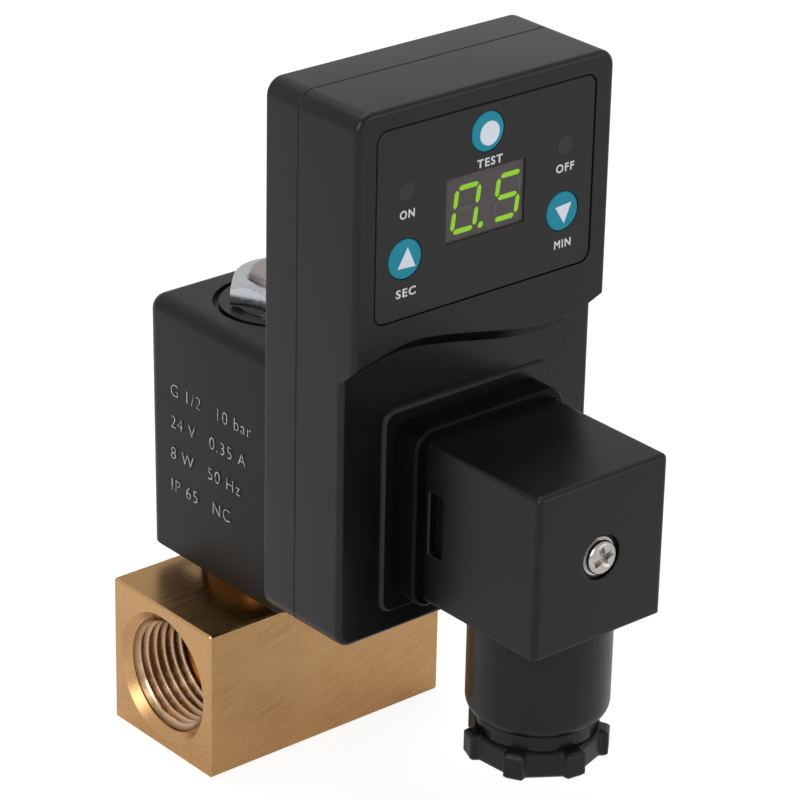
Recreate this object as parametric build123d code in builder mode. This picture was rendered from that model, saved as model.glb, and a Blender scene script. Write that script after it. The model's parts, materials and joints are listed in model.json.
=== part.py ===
from build123d import *
import os
from math import cos, radians, tan

# Automatic drain valve with an electronic timer: a brass two-way valve, its coil, the timer box
# that plugs onto the coil, and the square cable plug that plugs onto the timer.
#
# Millimetres, +Z up. +X runs along the flow towards the outlet port and -Y towards the timer's
# panel. The origin is the centre of the brass block's bottom face, under the armature tube.

os.makedirs("parts", exist_ok=True)

# ---------------------------------------------------------------- driving dimensions

# Brass block and its two ports
block_length = 52.0
block_width = 28.0
block_height = 28.0
block_edge = 0.35
port_radius = 10.478          # pipe thread G 1/2, major radius
port_thread_depth = 12.5
port_mouth_radius = 12.0
port_floor_radius = 9.3       # plain bore behind the thread
port_depth = 15.0

# Valve well and seat
well_radius = 6.8
well_floor = 12.5
seat_radius = 4.0
seat_lip_radius = 3.0
seat_top = 17.0
orifice_radius = 2.25
inlet_radius = 2.5
inlet_height = 15.5
outlet_radius = 2.8
outlet_height = 7.6

# Armature tube, its screwed flange, core and plunger
flange_radius = 13.9
flange_thickness = 3.0
flange_edge = 0.7
spigot_radius = 8.95
spigot_depth = 7.0
thread_clearance = 0.05
ring_section = 0.85           # O-ring, radius of its section
tube_radius = 6.5
tube_wall = 0.8
tube_clearance = 0.03
tube_lip_radius = 7.2
tube_lip_height = 0.8
core_clearance = 0.05
core_length = 26.7
core_collar = 0.6
plunger_clearance = 0.08
plunger_edge = 0.4
plunger_groove = 1.2          # width and depth of the flow grooves along the plunger
plunger_stroke = 1.9
plunger_rest_gap = 0.1        # left between plunger and core at full lift
seal_radius = 3.9
seal_height = 2.4
seal_proud = 0.6
spring_pocket_radius = 3.1
spring_pocket_depth = 8.0
spring_radius = 2.5
spring_wire_radius = 0.3
spring_turns = 4.0
shading_ring_radius = 4.7
shading_ring_width = 0.8
shading_ring_depth = 1.3
stem_radius = 5.1
stem_height = 5.9             # above the core's collar
stem_chamfer = 0.3

# Coil nut and washer
washer_thickness = 0.5
washer_radius = 7.9
nut_flats = 16.0
nut_height = 4.3
nut_turned = 16.8             # angle of one corner from the -X axis
nut_chamfer_radius = 7.7
nut_chamfer_angle = 45.0
nut_countersink = 0.9
nut_clearance = 0.06

# Coil
coil_width = 32.3             # at the top
coil_back = 17.15             # stem axis to rear face, at the top
coil_front = 20.4             # stem axis to front face, at the top
coil_height = 48.1
coil_draft = 0.48             # degrees, narrower downwards
coil_corner = 3.0
coil_top_round = 2.8
coil_bottom_round = 0.5
coil_bore_clearance = 0.08
coil_end_gap = 0.1            # under the coil and over it
coil_groove_radius = 11.7
coil_groove_width = 1.1
coil_groove_depth = 1.1
yoke_width = 22.0
yoke_cover = 2.5              # plastic over the yoke's top plate
yoke_plate = 3.0
yoke_leg = 2.6
bobbin_radius = 11.6
bobbin_gap = 0.2              # between bobbin and yoke leg
bobbin_flange = 1.2
bobbin_tube_wall = 1.3
winding_inset = 0.4

# Square connector pattern (18 mm between opposite blades), shared by coil, timer and plug
connector_top_height = 16.2   # from its axis up to the coil's top
contact_offset = 9.0
blade_width = 6.3
blade_thickness = 0.8
blade_reach = 11.4            # in front of its sealing face
blade_root = 5.0              # held in the coil's plastic
blade_slot_clearance = 0.1
platform_width = 28.0
platform_height = 28.0
platform_rise = 2.2
platform_corner = 2.0
insert_radius = 3.0
insert_length = 6.0
screw_clearance = 0.05

# Profile gaskets
gasket_width = 32.0
gasket_height = 32.0
gasket_corner = 3.8
gasket_depth = 5.3
gasket_base = 2.0
gasket_edge = 0.5
gasket_lip_slope = 0.4
gasket_window = 21.2

# Timer housing
timer_width = 53.6
timer_height = 93.45
timer_foot_height = 22.25     # from the timer's bottom up to the connector's axis
timer_corner = 3.0
timer_rear = 29.5             # stem axis to the rear face
rear_depth = 8.35
front_depth = 14.4            # parting line to the panel face
wall = 2.0
panel_step = 3.1              # from the panel face back to the lower face
rear_round = 0.7
front_round = 0.95
parting_chamfer = 0.2
wave_height = 28.65           # from the connector's axis up to the step's mid line
wave_cavity_height = 4.35     # from there up to the deeper cavity
wave_drop = 2.7               # the step's underside leans down by this on its way back
wave_points = [               # (share of the half width, height above the mid line)
    (-1.2, -2.2),
    (-1.0, -0.2),
    (-0.75, 1.55),
    (-0.55, 2.3),
    (-0.35, 1.8),
    (0.0, 0.0),
    (0.35, -1.85),
    (0.6, -2.35),
    (0.8, -1.65),
    (1.0, 0.25),
    (1.2, 2.6),
]
tongue_width = 0.9            # sealing tongue between the two shells
tongue_height = 1.4
tongue_clearance = 0.1
pad_width = 36.4
pad_height = 36.6
pad_rise = 0.67
pad_corner = 2.6
pad_edge = 0.45
rib_spread = 28.0
rib_thickness = 1.2
rib_height = 1.4
rib_length = 44.0
sleeve_radius = 3.0
screw_hole_radius = 1.7
case_screw_inset = 4.7        # from the housing's sides, top and bottom
case_post_radius = 2.9
case_screw_radius = 1.25
case_screw_length = 14.0
case_head_radius = 2.3
case_head_height = 1.3
case_head_recess = 1.6

# Panel
pocket_border = 3.8           # between the pocket and the housing's sides
pocket_top_border = 3.2       # between the pocket and the housing's top
pocket_height = 32.8
pocket_depth = 0.7
pocket_corner = 2.2
membrane_gap = 0.15
membrane_thickness = 0.5
key_radius = 3.35
key_gap = 0.1
key_proud = 0.12
key_edge = 0.2
key_collar_radius = 4.0
key_collar_height = 0.6
key_stroke = 0.4
key_rest_gap = 0.1            # left between key stem and switch at full press
key_stem_radius = 1.9
key_inset = 6.4               # side keys and indicators, from the pocket's sides
key_side_z = -6.2             # from the panel's middle
test_key_z = 11.3
led_hole_radius = 1.7
led_window_z = 5.2
window_width = 16.6
window_height = 11.0
window_z = -0.5
display_width = 15.0
display_height = 14.0
display_depth = 7.8
display_clearance = 0.2

# Control board and what it carries
board_thickness = 1.6
board_margin = 1.3            # left round the board and beside the screw posts
board_shoulder = 8.5          # height of the narrow ends
post_radius = 1.6
post_inset = 5.5              # from the housing's sides
post_low_height = -7.0        # from the connector's axis
post_high_height = 36.0
switch_size = 6.0
switch_body = 3.4
switch_plunger_radius = 1.7
switch_plunger_height = 0.9
led_radius = 1.5
led_flange_radius = 1.9
led_standoff = 3.4
led_gap = 0.1                 # behind the keypad's film
chip_size = (7.6, 5.0, 2.0)
chip_height = 24.0            # from the connector's axis, as the next two
chip_leg = (0.45, 1.4, 0.5)
chip_pitch = 1.27
capacitor_radius = 4.0
capacitor_length = 9.5
capacitor_inset = 11.0        # from the board's side
capacitor_height = 29.0
triac_size = (10.0, 9.0, 3.6)
triac_tab = (10.0, 6.0, 1.3)
triac_inset = 11.5            # from the board's side
triac_height = 27.0
triac_hole = 1.8
socket_wall = 1.1             # of the box that grips a blade
socket_length = 4.8
socket_tail = (1.2, 1.2)

# Cable plug
plug_height = 28.5
plug_depth = 30.35
plug_wall = 2.0
plug_front_wall = 2.5
plug_round = 1.0
plug_edge = 0.3
plug_sleeve_radius = 3.2
counterbore_radius = 3.95
counterbore_depth = 1.2
latch_height = 11.2
latch_length = 3.2
latch_from_rear = 4.4
insert_block_depth = 13.5
insert_block_gap = 0.2
latch_nose = 0.9
contact_recess = 1.2          # contact behind the insert's sealing face
contact_slot = 8.7
terminal_screw_radius = 1.4
terminal_screw_length = 2.8
terminal_head_radius = 2.5
terminal_head_height = 1.6
terminal_clearance = 0.35      # between a terminal screw's head and the plug's wall
plug_screw_radius = 1.5
plug_head_radius = 3.05
plug_head_height = 1.9
plug_washer_radius = 3.3
plug_washer_thickness = 0.5
plug_head_edge = 0.7

# Cable gland
gland_back = 16.8             # plug's rear face to the gland's axis
boss_radius = 12.0
boss_length = 19.2
boss_round = 3.0
neck_radius = 9.95
neck_length = 5.5
gland_bore_radius = 8.0
gland_bore_depth = 8.7
wire_bore_radius = 6.2
gland_seal_bore = 3.6
gland_washer_thickness = 1.0
gland_washer_bore = 5.0
gland_washer_clearance = 0.3
gland_seal_gap = 0.1
gland_nut_apothem = 10.6
gland_nut_height = 4.8
gland_nut_floor = 1.5
gland_nut_gap = 0.3           # under the neck
gland_nut_bore = 5.5
gland_nut_clearance = 0.08
gland_nut_edge = 0.6
gland_nut_lobes = 7
gland_nut_turned = 4.4
lobe_radius = 12.1
lobe_root_width = 4.2
lobe_height = 1.6
lobe_flank_angle = 75.0

# ---------------------------------------------------------------- derived levels

port_height = block_height / 2
port_floor = block_length / 2 - port_depth
spigot_bore = spigot_radius + thread_clearance
spigot_floor = block_height - spigot_depth
spigot_bottom = spigot_floor + 2 * ring_section
flange_top = block_height + flange_thickness
coil_bottom = flange_top + coil_end_gap
coil_top = coil_bottom + coil_height
collar_top = coil_top + coil_end_gap
tube_top = collar_top - core_collar
tube_bottom = spigot_bottom - tube_lip_height
tube_inner = tube_radius - tube_wall
core_bottom = tube_top - core_length
stem_top = collar_top + stem_height
nut_bottom = collar_top + washer_thickness
nut_top = nut_bottom + nut_height
plunger_radius = tube_inner - plunger_clearance
plunger_bottom = seat_top + seal_proud
plunger_top = core_bottom - plunger_stroke - plunger_rest_gap
spring_floor = plunger_top - spring_pocket_depth
coil_bore = tube_radius + coil_bore_clearance
yoke_top = coil_top - yoke_cover
yoke_inner = bobbin_radius + bobbin_gap
yoke_back = yoke_inner + yoke_leg
bobbin_bottom = coil_bottom + yoke_plate
bobbin_top = yoke_top - yoke_plate
bobbin_tube_radius = coil_bore + bobbin_tube_wall

platform_face = -coil_front - platform_rise
rear_boss_face = platform_face - gasket_base
gasket_overlap = (gasket_depth - gasket_base) / 2
timer_face = -timer_rear
rear_floor = timer_face - wall
parting = timer_face - rear_depth
panel_face = parting - front_depth
lower_face = panel_face + panel_step
lower_inner = lower_face + wall
pad_face = lower_face - pad_rise
pocket_floor = panel_face + pocket_depth
panel_inner = pocket_floor + wall
membrane_face = pocket_floor - membrane_thickness
board_front = pocket_floor + display_depth
board_back = board_front + board_thickness
connector_height = coil_top - connector_top_height
timer_bottom = connector_height - timer_foot_height
timer_middle = timer_bottom + timer_height / 2
wave_level = connector_height + wave_height
upper_cavity_bottom = wave_level + wave_cavity_height
upper_cavity_top = timer_bottom + timer_height - wall
cavity_corner = timer_corner - wall
case_screw_x = timer_width / 2 - case_screw_inset
case_screw_z = timer_height / 2 - case_screw_inset
post_x = timer_width / 2 - post_inset
pocket_width = timer_width - 2 * pocket_border
key_side_x = pocket_width / 2 - key_inset
board_width = timer_width - 2 * wall - 2 * board_margin
board_waist = 2 * (case_screw_x - case_post_radius - board_margin)
board_bottom = timer_bottom + wall + board_margin
board_top = timer_bottom + timer_height - wall - board_margin
chip_place = (0, connector_height + chip_height)
capacitor_place = (board_width / 2 - capacitor_inset, connector_height + capacitor_height)
triac_place = (triac_inset - board_width / 2, connector_height + triac_height)

key_face = membrane_face - key_proud
key_hole_radius = key_radius + key_gap
switch_face = board_front - switch_body
key_end = switch_face - switch_plunger_height - key_stroke - key_rest_gap
panel_middle = timer_bottom + timer_height - pocket_top_border - pocket_height / 2
window_middle = panel_middle + window_z

plug_width = 2 * (contact_offset + terminal_head_radius + terminal_clearance + plug_wall)
plug_rear = pad_face - gasket_base
plug_front = plug_rear - plug_depth
plug_bottom = connector_height - plug_height / 2
plug_inner_front = plug_front + plug_front_wall
insert_front = plug_rear - insert_block_depth
contact_rear = plug_rear - contact_recess
counterbore_floor = plug_front + counterbore_depth
screw_seat = counterbore_floor - plug_washer_thickness
screw_end = platform_face + blade_root
gland_axis = plug_rear - gland_back
boss_bottom = plug_bottom - boss_length
neck_bottom = boss_bottom - neck_length
gland_shoulder = neck_bottom + gland_bore_depth
washer_seat = neck_bottom - gland_nut_gap
gland_nut_bottom = washer_seat - gland_nut_floor
seal_bottom = washer_seat + gland_washer_thickness

# Blades of the connector: (x, z, width, height), seen along the connector's axis
contacts = [
    (-contact_offset, connector_height, blade_thickness, blade_width),
    (contact_offset, connector_height, blade_thickness, blade_width),
    (0, connector_height - contact_offset, blade_width, blade_thickness),
]

# Keys and indicators on the panel: (x, z)
keys = {
    "test_button": (0, panel_middle + test_key_z),
    "sec_button": (-key_side_x, panel_middle + key_side_z),
    "min_button": (key_side_x, panel_middle + key_side_z),
}
led_places = [(side * key_side_x, panel_middle + led_window_z) for side in (-1, 1)]

# Case screws and board posts: (x, z, inner face of the front shell there)
case_screws = [
    (side * case_screw_x, timer_middle + end * case_screw_z, floor)
    for side in (-1, 1)
    for end, floor in ((-1, lower_inner), (1, panel_inner))
]
board_posts = [
    (side * post_x, connector_height + height, floor)
    for side in (-1, 1)
    for height, floor in ((post_low_height, lower_inner), (post_high_height, panel_inner))
]

# Outline of the coil's steel yoke as (y, z): a strap bent round the winding, open at the front
yoke_outline = [
    (-yoke_inner, coil_bottom),
    (yoke_back, coil_bottom),
    (yoke_back, yoke_top),
    (-yoke_inner, yoke_top),
    (-yoke_inner, bobbin_top),
    (yoke_inner, bobbin_top),
    (yoke_inner, bobbin_bottom),
    (-yoke_inner, bobbin_bottom),
]


def facing(y):
    """Sketch plane at a given y, looking towards -Y: local x is X and local y is Z."""
    return Plane.XZ.offset(-y)


def below_wave(drop):
    """Outline of all that lies under the wavy step across the timer, lowered by drop."""
    half = timer_width / 2
    edge = Spline(*[(share * half, wave_level - drop + height) for share, height in wave_points])
    Polyline(
        edge @ 1,
        ((edge @ 1).X, timer_bottom - wall),
        ((edge @ 0).X, timer_bottom - wall),
        edge @ 0,
    )


def finish(piece, label):
    piece.part.label = label
    export_step(piece.part, f"parts/{label}.step")


# ---------------------------------------------------------------- brass block

with BuildPart() as valve_body:
    Box(block_length, block_width, block_height, align=(Align.CENTER, Align.CENTER, Align.MIN))
    chamfer(valve_body.edges(), block_edge)
    # A threaded port in each end, with a chamfered mouth and a plain bore behind the thread
    for side in (-1, 1):
        end = block_length / 2
        mouth = end - (port_mouth_radius - port_radius)
        with BuildSketch(Plane.XZ):
            with BuildLine():
                Polyline(
                    (side * end, port_height),
                    (side * end, port_height + port_mouth_radius),
                    (side * mouth, port_height + port_radius),
                    (side * (end - port_thread_depth), port_height + port_radius),
                    (side * (end - port_thread_depth), port_height + port_floor_radius),
                    (side * port_floor, port_height + port_floor_radius),
                    (side * port_floor, port_height),
                    close=True,
                )
            make_face()
        revolve(axis=Axis((0, 0, port_height), (1, 0, 0)), mode=Mode.SUBTRACT)
    # Well for the screwed flange, chamber round the raised seat and the orifice down its middle
    with BuildSketch(Plane.XZ):
        with BuildLine():
            Polyline(
                (0, block_height),
                (spigot_bore, block_height),
                (spigot_bore, spigot_floor),
                (well_radius, spigot_floor),
                (well_radius, well_floor),
                (seat_radius, well_floor),
                (seat_lip_radius, seat_top),
                (orifice_radius, seat_top),
                (orifice_radius, outlet_height),
                (0, outlet_height),
                close=True,
            )
        make_face()
    revolve(axis=Axis.Z, mode=Mode.SUBTRACT)
    # Inlet drilling into the chamber and outlet drilling under the seat
    with BuildSketch(Plane.YZ.offset(-port_floor)):
        with Locations((0, inlet_height)):
            Circle(inlet_radius)
    extrude(amount=port_floor - well_radius + orifice_radius / 2, mode=Mode.SUBTRACT)
    with BuildSketch(Plane.YZ.offset(-seat_lip_radius)):
        with Locations((0, outlet_height)):
            Circle(outlet_radius)
    extrude(amount=port_floor + seat_lip_radius, mode=Mode.SUBTRACT)
finish(valve_body, "valve_body")

with BuildPart() as body_o_ring:
    with BuildSketch(Plane.XZ):
        with Locations((spigot_bore - ring_section, spigot_floor + ring_section)):
            RegularPolygon(ring_section, 8)
    revolve(axis=Axis.Z)
finish(body_o_ring, "body_o_ring")

# ---------------------------------------------------------------- armature tube and its contents

with BuildPart() as tube_flange:
    with BuildSketch(Plane.XY.offset(block_height)):
        Circle(flange_radius)
    extrude(amount=flange_thickness)
    chamfer(tube_flange.edges().group_by(Axis.Z)[-1], flange_edge)
    with BuildSketch(Plane.XY.offset(spigot_bottom)):
        Circle(spigot_radius)
    extrude(amount=block_height - spigot_bottom)
    with Locations((0, 0, flange_top)):
        Hole(tube_radius + tube_clearance)
finish(tube_flange, "tube_flange")

with BuildPart() as armature_tube:
    with BuildSketch(Plane.XY.offset(tube_bottom)):
        Circle(tube_radius)
    extrude(amount=tube_top - tube_bottom)
    with BuildSketch(Plane.XY.offset(tube_bottom)):
        Circle(tube_lip_radius)
    extrude(amount=tube_lip_height)
    with Locations((0, 0, tube_top)):
        Hole(tube_inner)
finish(armature_tube, "armature_tube")

with BuildPart() as fixed_core:
    with BuildSketch(Plane.XY.offset(core_bottom)):
        Circle(tube_inner - core_clearance)
    extrude(amount=core_length)
    with BuildSketch(Plane.XY.offset(tube_top)):
        Circle(tube_radius)
    extrude(amount=core_collar)
    with BuildSketch(Plane.XY.offset(collar_top)):
        Circle(stem_radius)
    extrude(amount=stem_height)
    chamfer(fixed_core.edges().group_by(Axis.Z)[-1], stem_chamfer)
    with BuildSketch(Plane.XY.offset(core_bottom)):
        Circle(shading_ring_radius + shading_ring_width / 2)
        Circle(shading_ring_radius - shading_ring_width / 2, mode=Mode.SUBTRACT)
    extrude(amount=shading_ring_depth, mode=Mode.SUBTRACT)
finish(fixed_core, "fixed_core")

with BuildPart() as shading_ring:
    with BuildSketch(Plane.XY.offset(core_bottom)):
        Circle(shading_ring_radius + shading_ring_width / 2)
        Circle(shading_ring_radius - shading_ring_width / 2, mode=Mode.SUBTRACT)
    extrude(amount=shading_ring_depth)
finish(shading_ring, "shading_ring")

with BuildPart() as plunger:
    with BuildSketch(Plane.XY.offset(plunger_bottom)):
        Circle(plunger_radius)
    extrude(amount=plunger_top - plunger_bottom)
    chamfer(plunger.edges().filter_by(GeomType.CIRCLE), plunger_edge)
    # Pocket for the spring above, pocket for the seal below
    with BuildSketch(Plane.XY.offset(plunger_top)):
        Circle(spring_pocket_radius)
    extrude(amount=-spring_pocket_depth, mode=Mode.SUBTRACT)
    with BuildSketch(Plane.XY.offset(plunger_bottom)):
        Circle(seal_radius)
    extrude(amount=seal_height - seal_proud, mode=Mode.SUBTRACT)
    # Flow grooves that let the fluid behind the plunger escape
    with BuildSketch(Plane.XY.offset(plunger_bottom)):
        with PolarLocations(plunger_radius, 2):
            Rectangle(2 * plunger_groove, plunger_groove)
    extrude(amount=plunger_top - plunger_bottom, mode=Mode.SUBTRACT)
finish(plunger, "plunger")

with BuildPart() as plunger_seal:
    with BuildSketch(Plane.XY.offset(seat_top)):
        Circle(seal_radius)
    extrude(amount=seal_height)
finish(plunger_seal, "plunger_seal")

spring_height = core_bottom - spring_floor - 2 * spring_wire_radius
with BuildPart() as plunger_spring:
    with BuildLine() as coil_line:
        Helix(
            pitch=spring_height / spring_turns,
            height=spring_height,
            radius=spring_radius,
            center=(0, 0, spring_floor + spring_wire_radius),
        )
    with BuildSketch(Plane(origin=coil_line.line @ 0, z_dir=coil_line.line % 0)):
        RegularPolygon(spring_wire_radius, 6)
    sweep(is_frenet=True)
finish(plunger_spring, "plunger_spring")

with BuildPart() as coil_washer:
    with BuildSketch(Plane.XY.offset(collar_top)):
        Circle(washer_radius)
        Circle(stem_radius + nut_clearance, mode=Mode.SUBTRACT)
    extrude(amount=washer_thickness)
finish(coil_washer, "coil_washer")

with BuildPart() as coil_nut:
    with BuildSketch(Plane.XY.offset(nut_bottom)):
        RegularPolygon(nut_flats / 2, 6, major_radius=False, rotation=180 - nut_turned)
        Circle(stem_radius + nut_clearance, mode=Mode.SUBTRACT)
    extrude(amount=nut_height)
    chamfer(coil_nut.edges().filter_by(GeomType.CIRCLE).sort_by(Axis.Z)[-1], nut_countersink)
    # Turned chamfer over the corners
    nut_corner = nut_flats / 2 / cos(radians(30))
    with BuildSketch(Plane.XZ):
        with BuildLine():
            Polyline(
                (0, nut_bottom),
                (nut_corner, nut_bottom),
                (nut_corner, nut_top - (nut_corner - nut_chamfer_radius) * tan(radians(nut_chamfer_angle))),
                (nut_chamfer_radius, nut_top),
                (0, nut_top),
                close=True,
            )
        make_face()
    revolve(axis=Axis.Z, mode=Mode.INTERSECT)
finish(coil_nut, "coil_nut")

# ---------------------------------------------------------------- coil

with BuildPart() as coil_case:
    with BuildSketch(Plane.XY.offset(coil_top)):
        with Locations((0, (coil_back - coil_front) / 2)):
            RectangleRounded(coil_width, coil_back + coil_front, coil_corner)
    extrude(amount=-coil_height, taper=coil_draft)
    fillet(coil_case.faces().sort_by(Axis.Z)[-1].edges(), coil_top_round)
    chamfer(coil_case.faces().sort_by(Axis.Z)[0].edges(), coil_bottom_round)
    # Raised platform of the connector
    with BuildSketch(facing(platform_face)):
        with Locations((0, connector_height)):
            RectangleRounded(platform_width, platform_height, platform_corner)
    extrude(amount=-2 * platform_rise)
    # Round groove in the top
    with BuildSketch(Plane.XY.offset(coil_top)):
        Circle(coil_groove_radius)
        Circle(coil_groove_radius - coil_groove_width, mode=Mode.SUBTRACT)
    extrude(amount=-coil_groove_depth, mode=Mode.SUBTRACT)
    # Moulded round the yoke, the bobbin, the blades and the threaded insert
    with BuildSketch(Plane.YZ):
        with BuildLine():
            Polyline(*yoke_outline, close=True)
        make_face()
    extrude(amount=yoke_width / 2, both=True, mode=Mode.SUBTRACT)
    with BuildSketch(Plane.XY.offset(bobbin_bottom)):
        Circle(bobbin_radius)
    extrude(amount=bobbin_top - bobbin_bottom, mode=Mode.SUBTRACT)
    with BuildSketch(Plane.XY.offset(coil_top)):
        Circle(coil_bore)
    extrude(amount=-coil_height, mode=Mode.SUBTRACT)
    with BuildSketch(facing(platform_face)):
        for x, z, width, height in contacts:
            with Locations((x, z)):
                Rectangle(width, height)
    extrude(amount=-blade_root, mode=Mode.SUBTRACT)
    with BuildSketch(facing(platform_face)):
        with Locations((0, connector_height)):
            Circle(insert_radius)
    extrude(amount=-insert_length, mode=Mode.SUBTRACT)
finish(coil_case, "coil_case")

with BuildPart() as yoke_frame:
    with BuildSketch(Plane.YZ):
        with BuildLine():
            Polyline(*yoke_outline, close=True)
        make_face()
    extrude(amount=yoke_width / 2, both=True)
    with Locations((0, 0, yoke_top)):
        Hole(coil_bore)
finish(yoke_frame, "yoke_frame")

with BuildPart() as coil_bobbin:
    with BuildSketch(Plane.XY.offset(bobbin_bottom)):
        Circle(bobbin_tube_radius)
    extrude(amount=bobbin_top - bobbin_bottom)
    for level in (bobbin_bottom, bobbin_top - bobbin_flange):
        with BuildSketch(Plane.XY.offset(level)):
            Circle(bobbin_radius)
        extrude(amount=bobbin_flange)
    with Locations((0, 0, bobbin_top)):
        Hole(coil_bore)
finish(coil_bobbin, "coil_bobbin")

with BuildPart() as coil_winding:
    with BuildSketch(Plane.XY.offset(bobbin_bottom + bobbin_flange)):
        Circle(bobbin_radius - winding_inset)
        Circle(bobbin_tube_radius, mode=Mode.SUBTRACT)
    extrude(amount=bobbin_top - bobbin_bottom - 2 * bobbin_flange)
finish(coil_winding, "coil_winding")

with BuildPart() as coil_terminals:
    with BuildSketch(facing(platform_face + blade_root)):
        for x, z, width, height in contacts:
            with Locations((x, z)):
                Rectangle(width, height)
    extrude(amount=blade_root + blade_reach)
finish(coil_terminals, "coil_terminals")

with BuildPart() as coil_insert:
    with BuildSketch(facing(platform_face + insert_length)):
        with Locations((0, connector_height)):
            Circle(insert_radius)
            Circle(plug_screw_radius + screw_clearance, mode=Mode.SUBTRACT)
    extrude(amount=insert_length)
finish(coil_insert, "coil_insert")

with BuildPart() as coil_gasket:
    with BuildSketch(facing(platform_face + gasket_overlap)):
        with Locations((0, connector_height)):
            RectangleRounded(gasket_width, gasket_height, gasket_corner)
    extrude(amount=gasket_depth)
    chamfer(coil_gasket.edges().group_by(Axis.Y)[0], gasket_edge)
    chamfer(coil_gasket.edges().group_by(Axis.Y)[-1], gasket_edge)
    # A recess on each side takes the coil's platform and the timer's rear boss
    for face, reach in ((platform_face, -gasket_overlap), (rear_boss_face, gasket_overlap)):
        with BuildSketch(facing(face)):
            with Locations((0, connector_height)):
                RectangleRounded(platform_width, platform_height, platform_corner)
        extrude(amount=reach, mode=Mode.SUBTRACT)
    with BuildSketch(facing(platform_face)):
        with Locations((0, connector_height)):
            Rectangle(gasket_window, gasket_window)
    extrude(amount=gasket_base, mode=Mode.SUBTRACT)
finish(coil_gasket, "coil_gasket")

# ---------------------------------------------------------------- timer housing

with BuildPart() as timer_rear_housing:
    with BuildSketch(facing(timer_face)):
        with Locations((0, timer_middle)):
            RectangleRounded(timer_width, timer_height, timer_corner)
    extrude(amount=rear_depth)
    fillet(timer_rear_housing.edges().group_by(Axis.Y)[-1], rear_round)
    chamfer(timer_rear_housing.edges().group_by(Axis.Y)[0], parting_chamfer)
    with BuildSketch(facing(parting)):
        with Locations((0, timer_middle)):
            RectangleRounded(timer_width - 2 * wall, timer_height - 2 * wall, cavity_corner)
    extrude(amount=-(rear_depth - wall), mode=Mode.SUBTRACT)
    # Sealing tongue round the open edge
    with BuildSketch(facing(parting + tongue_height)):
        with Locations((0, timer_middle)):
            RectangleRounded(
                timer_width - 2 * (wall - tongue_width),
                timer_height - 2 * (wall - tongue_width),
                cavity_corner + tongue_width,
            )
            RectangleRounded(
                timer_width - 2 * wall,
                timer_height - 2 * wall,
                cavity_corner,
                mode=Mode.SUBTRACT,
            )
    extrude(amount=2 * tongue_height)
    # Boss that plugs onto the coil
    with BuildSketch(facing(timer_face)):
        with Locations((0, connector_height)):
            RectangleRounded(platform_width, platform_height, platform_corner)
    extrude(amount=timer_face - rear_boss_face)
    # Screw bosses in the corners and pegs that hold the board down
    with BuildSketch(facing(rear_floor)):
        with Locations(*[(x, z) for x, z, _ in case_screws]):
            Circle(case_post_radius)
    extrude(amount=rear_floor - parting)
    with BuildSketch(facing(rear_floor)):
        with Locations(*[(x, z) for x, z, _ in board_posts]):
            Circle(post_radius)
    extrude(amount=rear_floor - board_back)
    # Counterbored screw holes, blade slots and the hole for the long central screw
    with BuildSketch(facing(timer_face)):
        with Locations(*[(x, z) for x, z, _ in case_screws]):
            Circle(case_head_radius + blade_slot_clearance)
    extrude(amount=case_head_recess, mode=Mode.SUBTRACT)
    with BuildSketch(facing(timer_face)):
        with Locations(*[(x, z) for x, z, _ in case_screws]):
            Circle(case_screw_radius + blade_slot_clearance)
    extrude(amount=rear_depth, mode=Mode.SUBTRACT)
    with BuildSketch(facing(rear_boss_face)):
        for x, z, width, height in contacts:
            with Locations((x, z)):
                Rectangle(width + 2 * blade_slot_clearance, height + 2 * blade_slot_clearance)
        with Locations((0, connector_height)):
            Circle(screw_hole_radius)
    extrude(amount=rear_boss_face - rear_floor, mode=Mode.SUBTRACT)
finish(timer_rear_housing, "timer_rear_housing")

# Upper, thicker part of the front shell, cut off below along the wavy, leaning step
with BuildPart() as panel_block:
    with BuildSketch(facing(parting)):
        with Locations((0, timer_middle)):
            RectangleRounded(timer_width, timer_height, timer_corner)
    extrude(amount=front_depth)
    fillet(panel_block.edges().group_by(Axis.Y)[0], front_round)
    for face, drop in ((panel_face, 0.0), (lower_face, wave_drop)):
        with BuildSketch(facing(face)):
            with BuildLine():
                below_wave(drop)
            make_face()
    loft(ruled=True, mode=Mode.SUBTRACT)
    with BuildSketch(facing(parting)):
        with BuildLine():
            below_wave(wave_drop)
        make_face()
    extrude(amount=parting - lower_face, mode=Mode.SUBTRACT)

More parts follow.
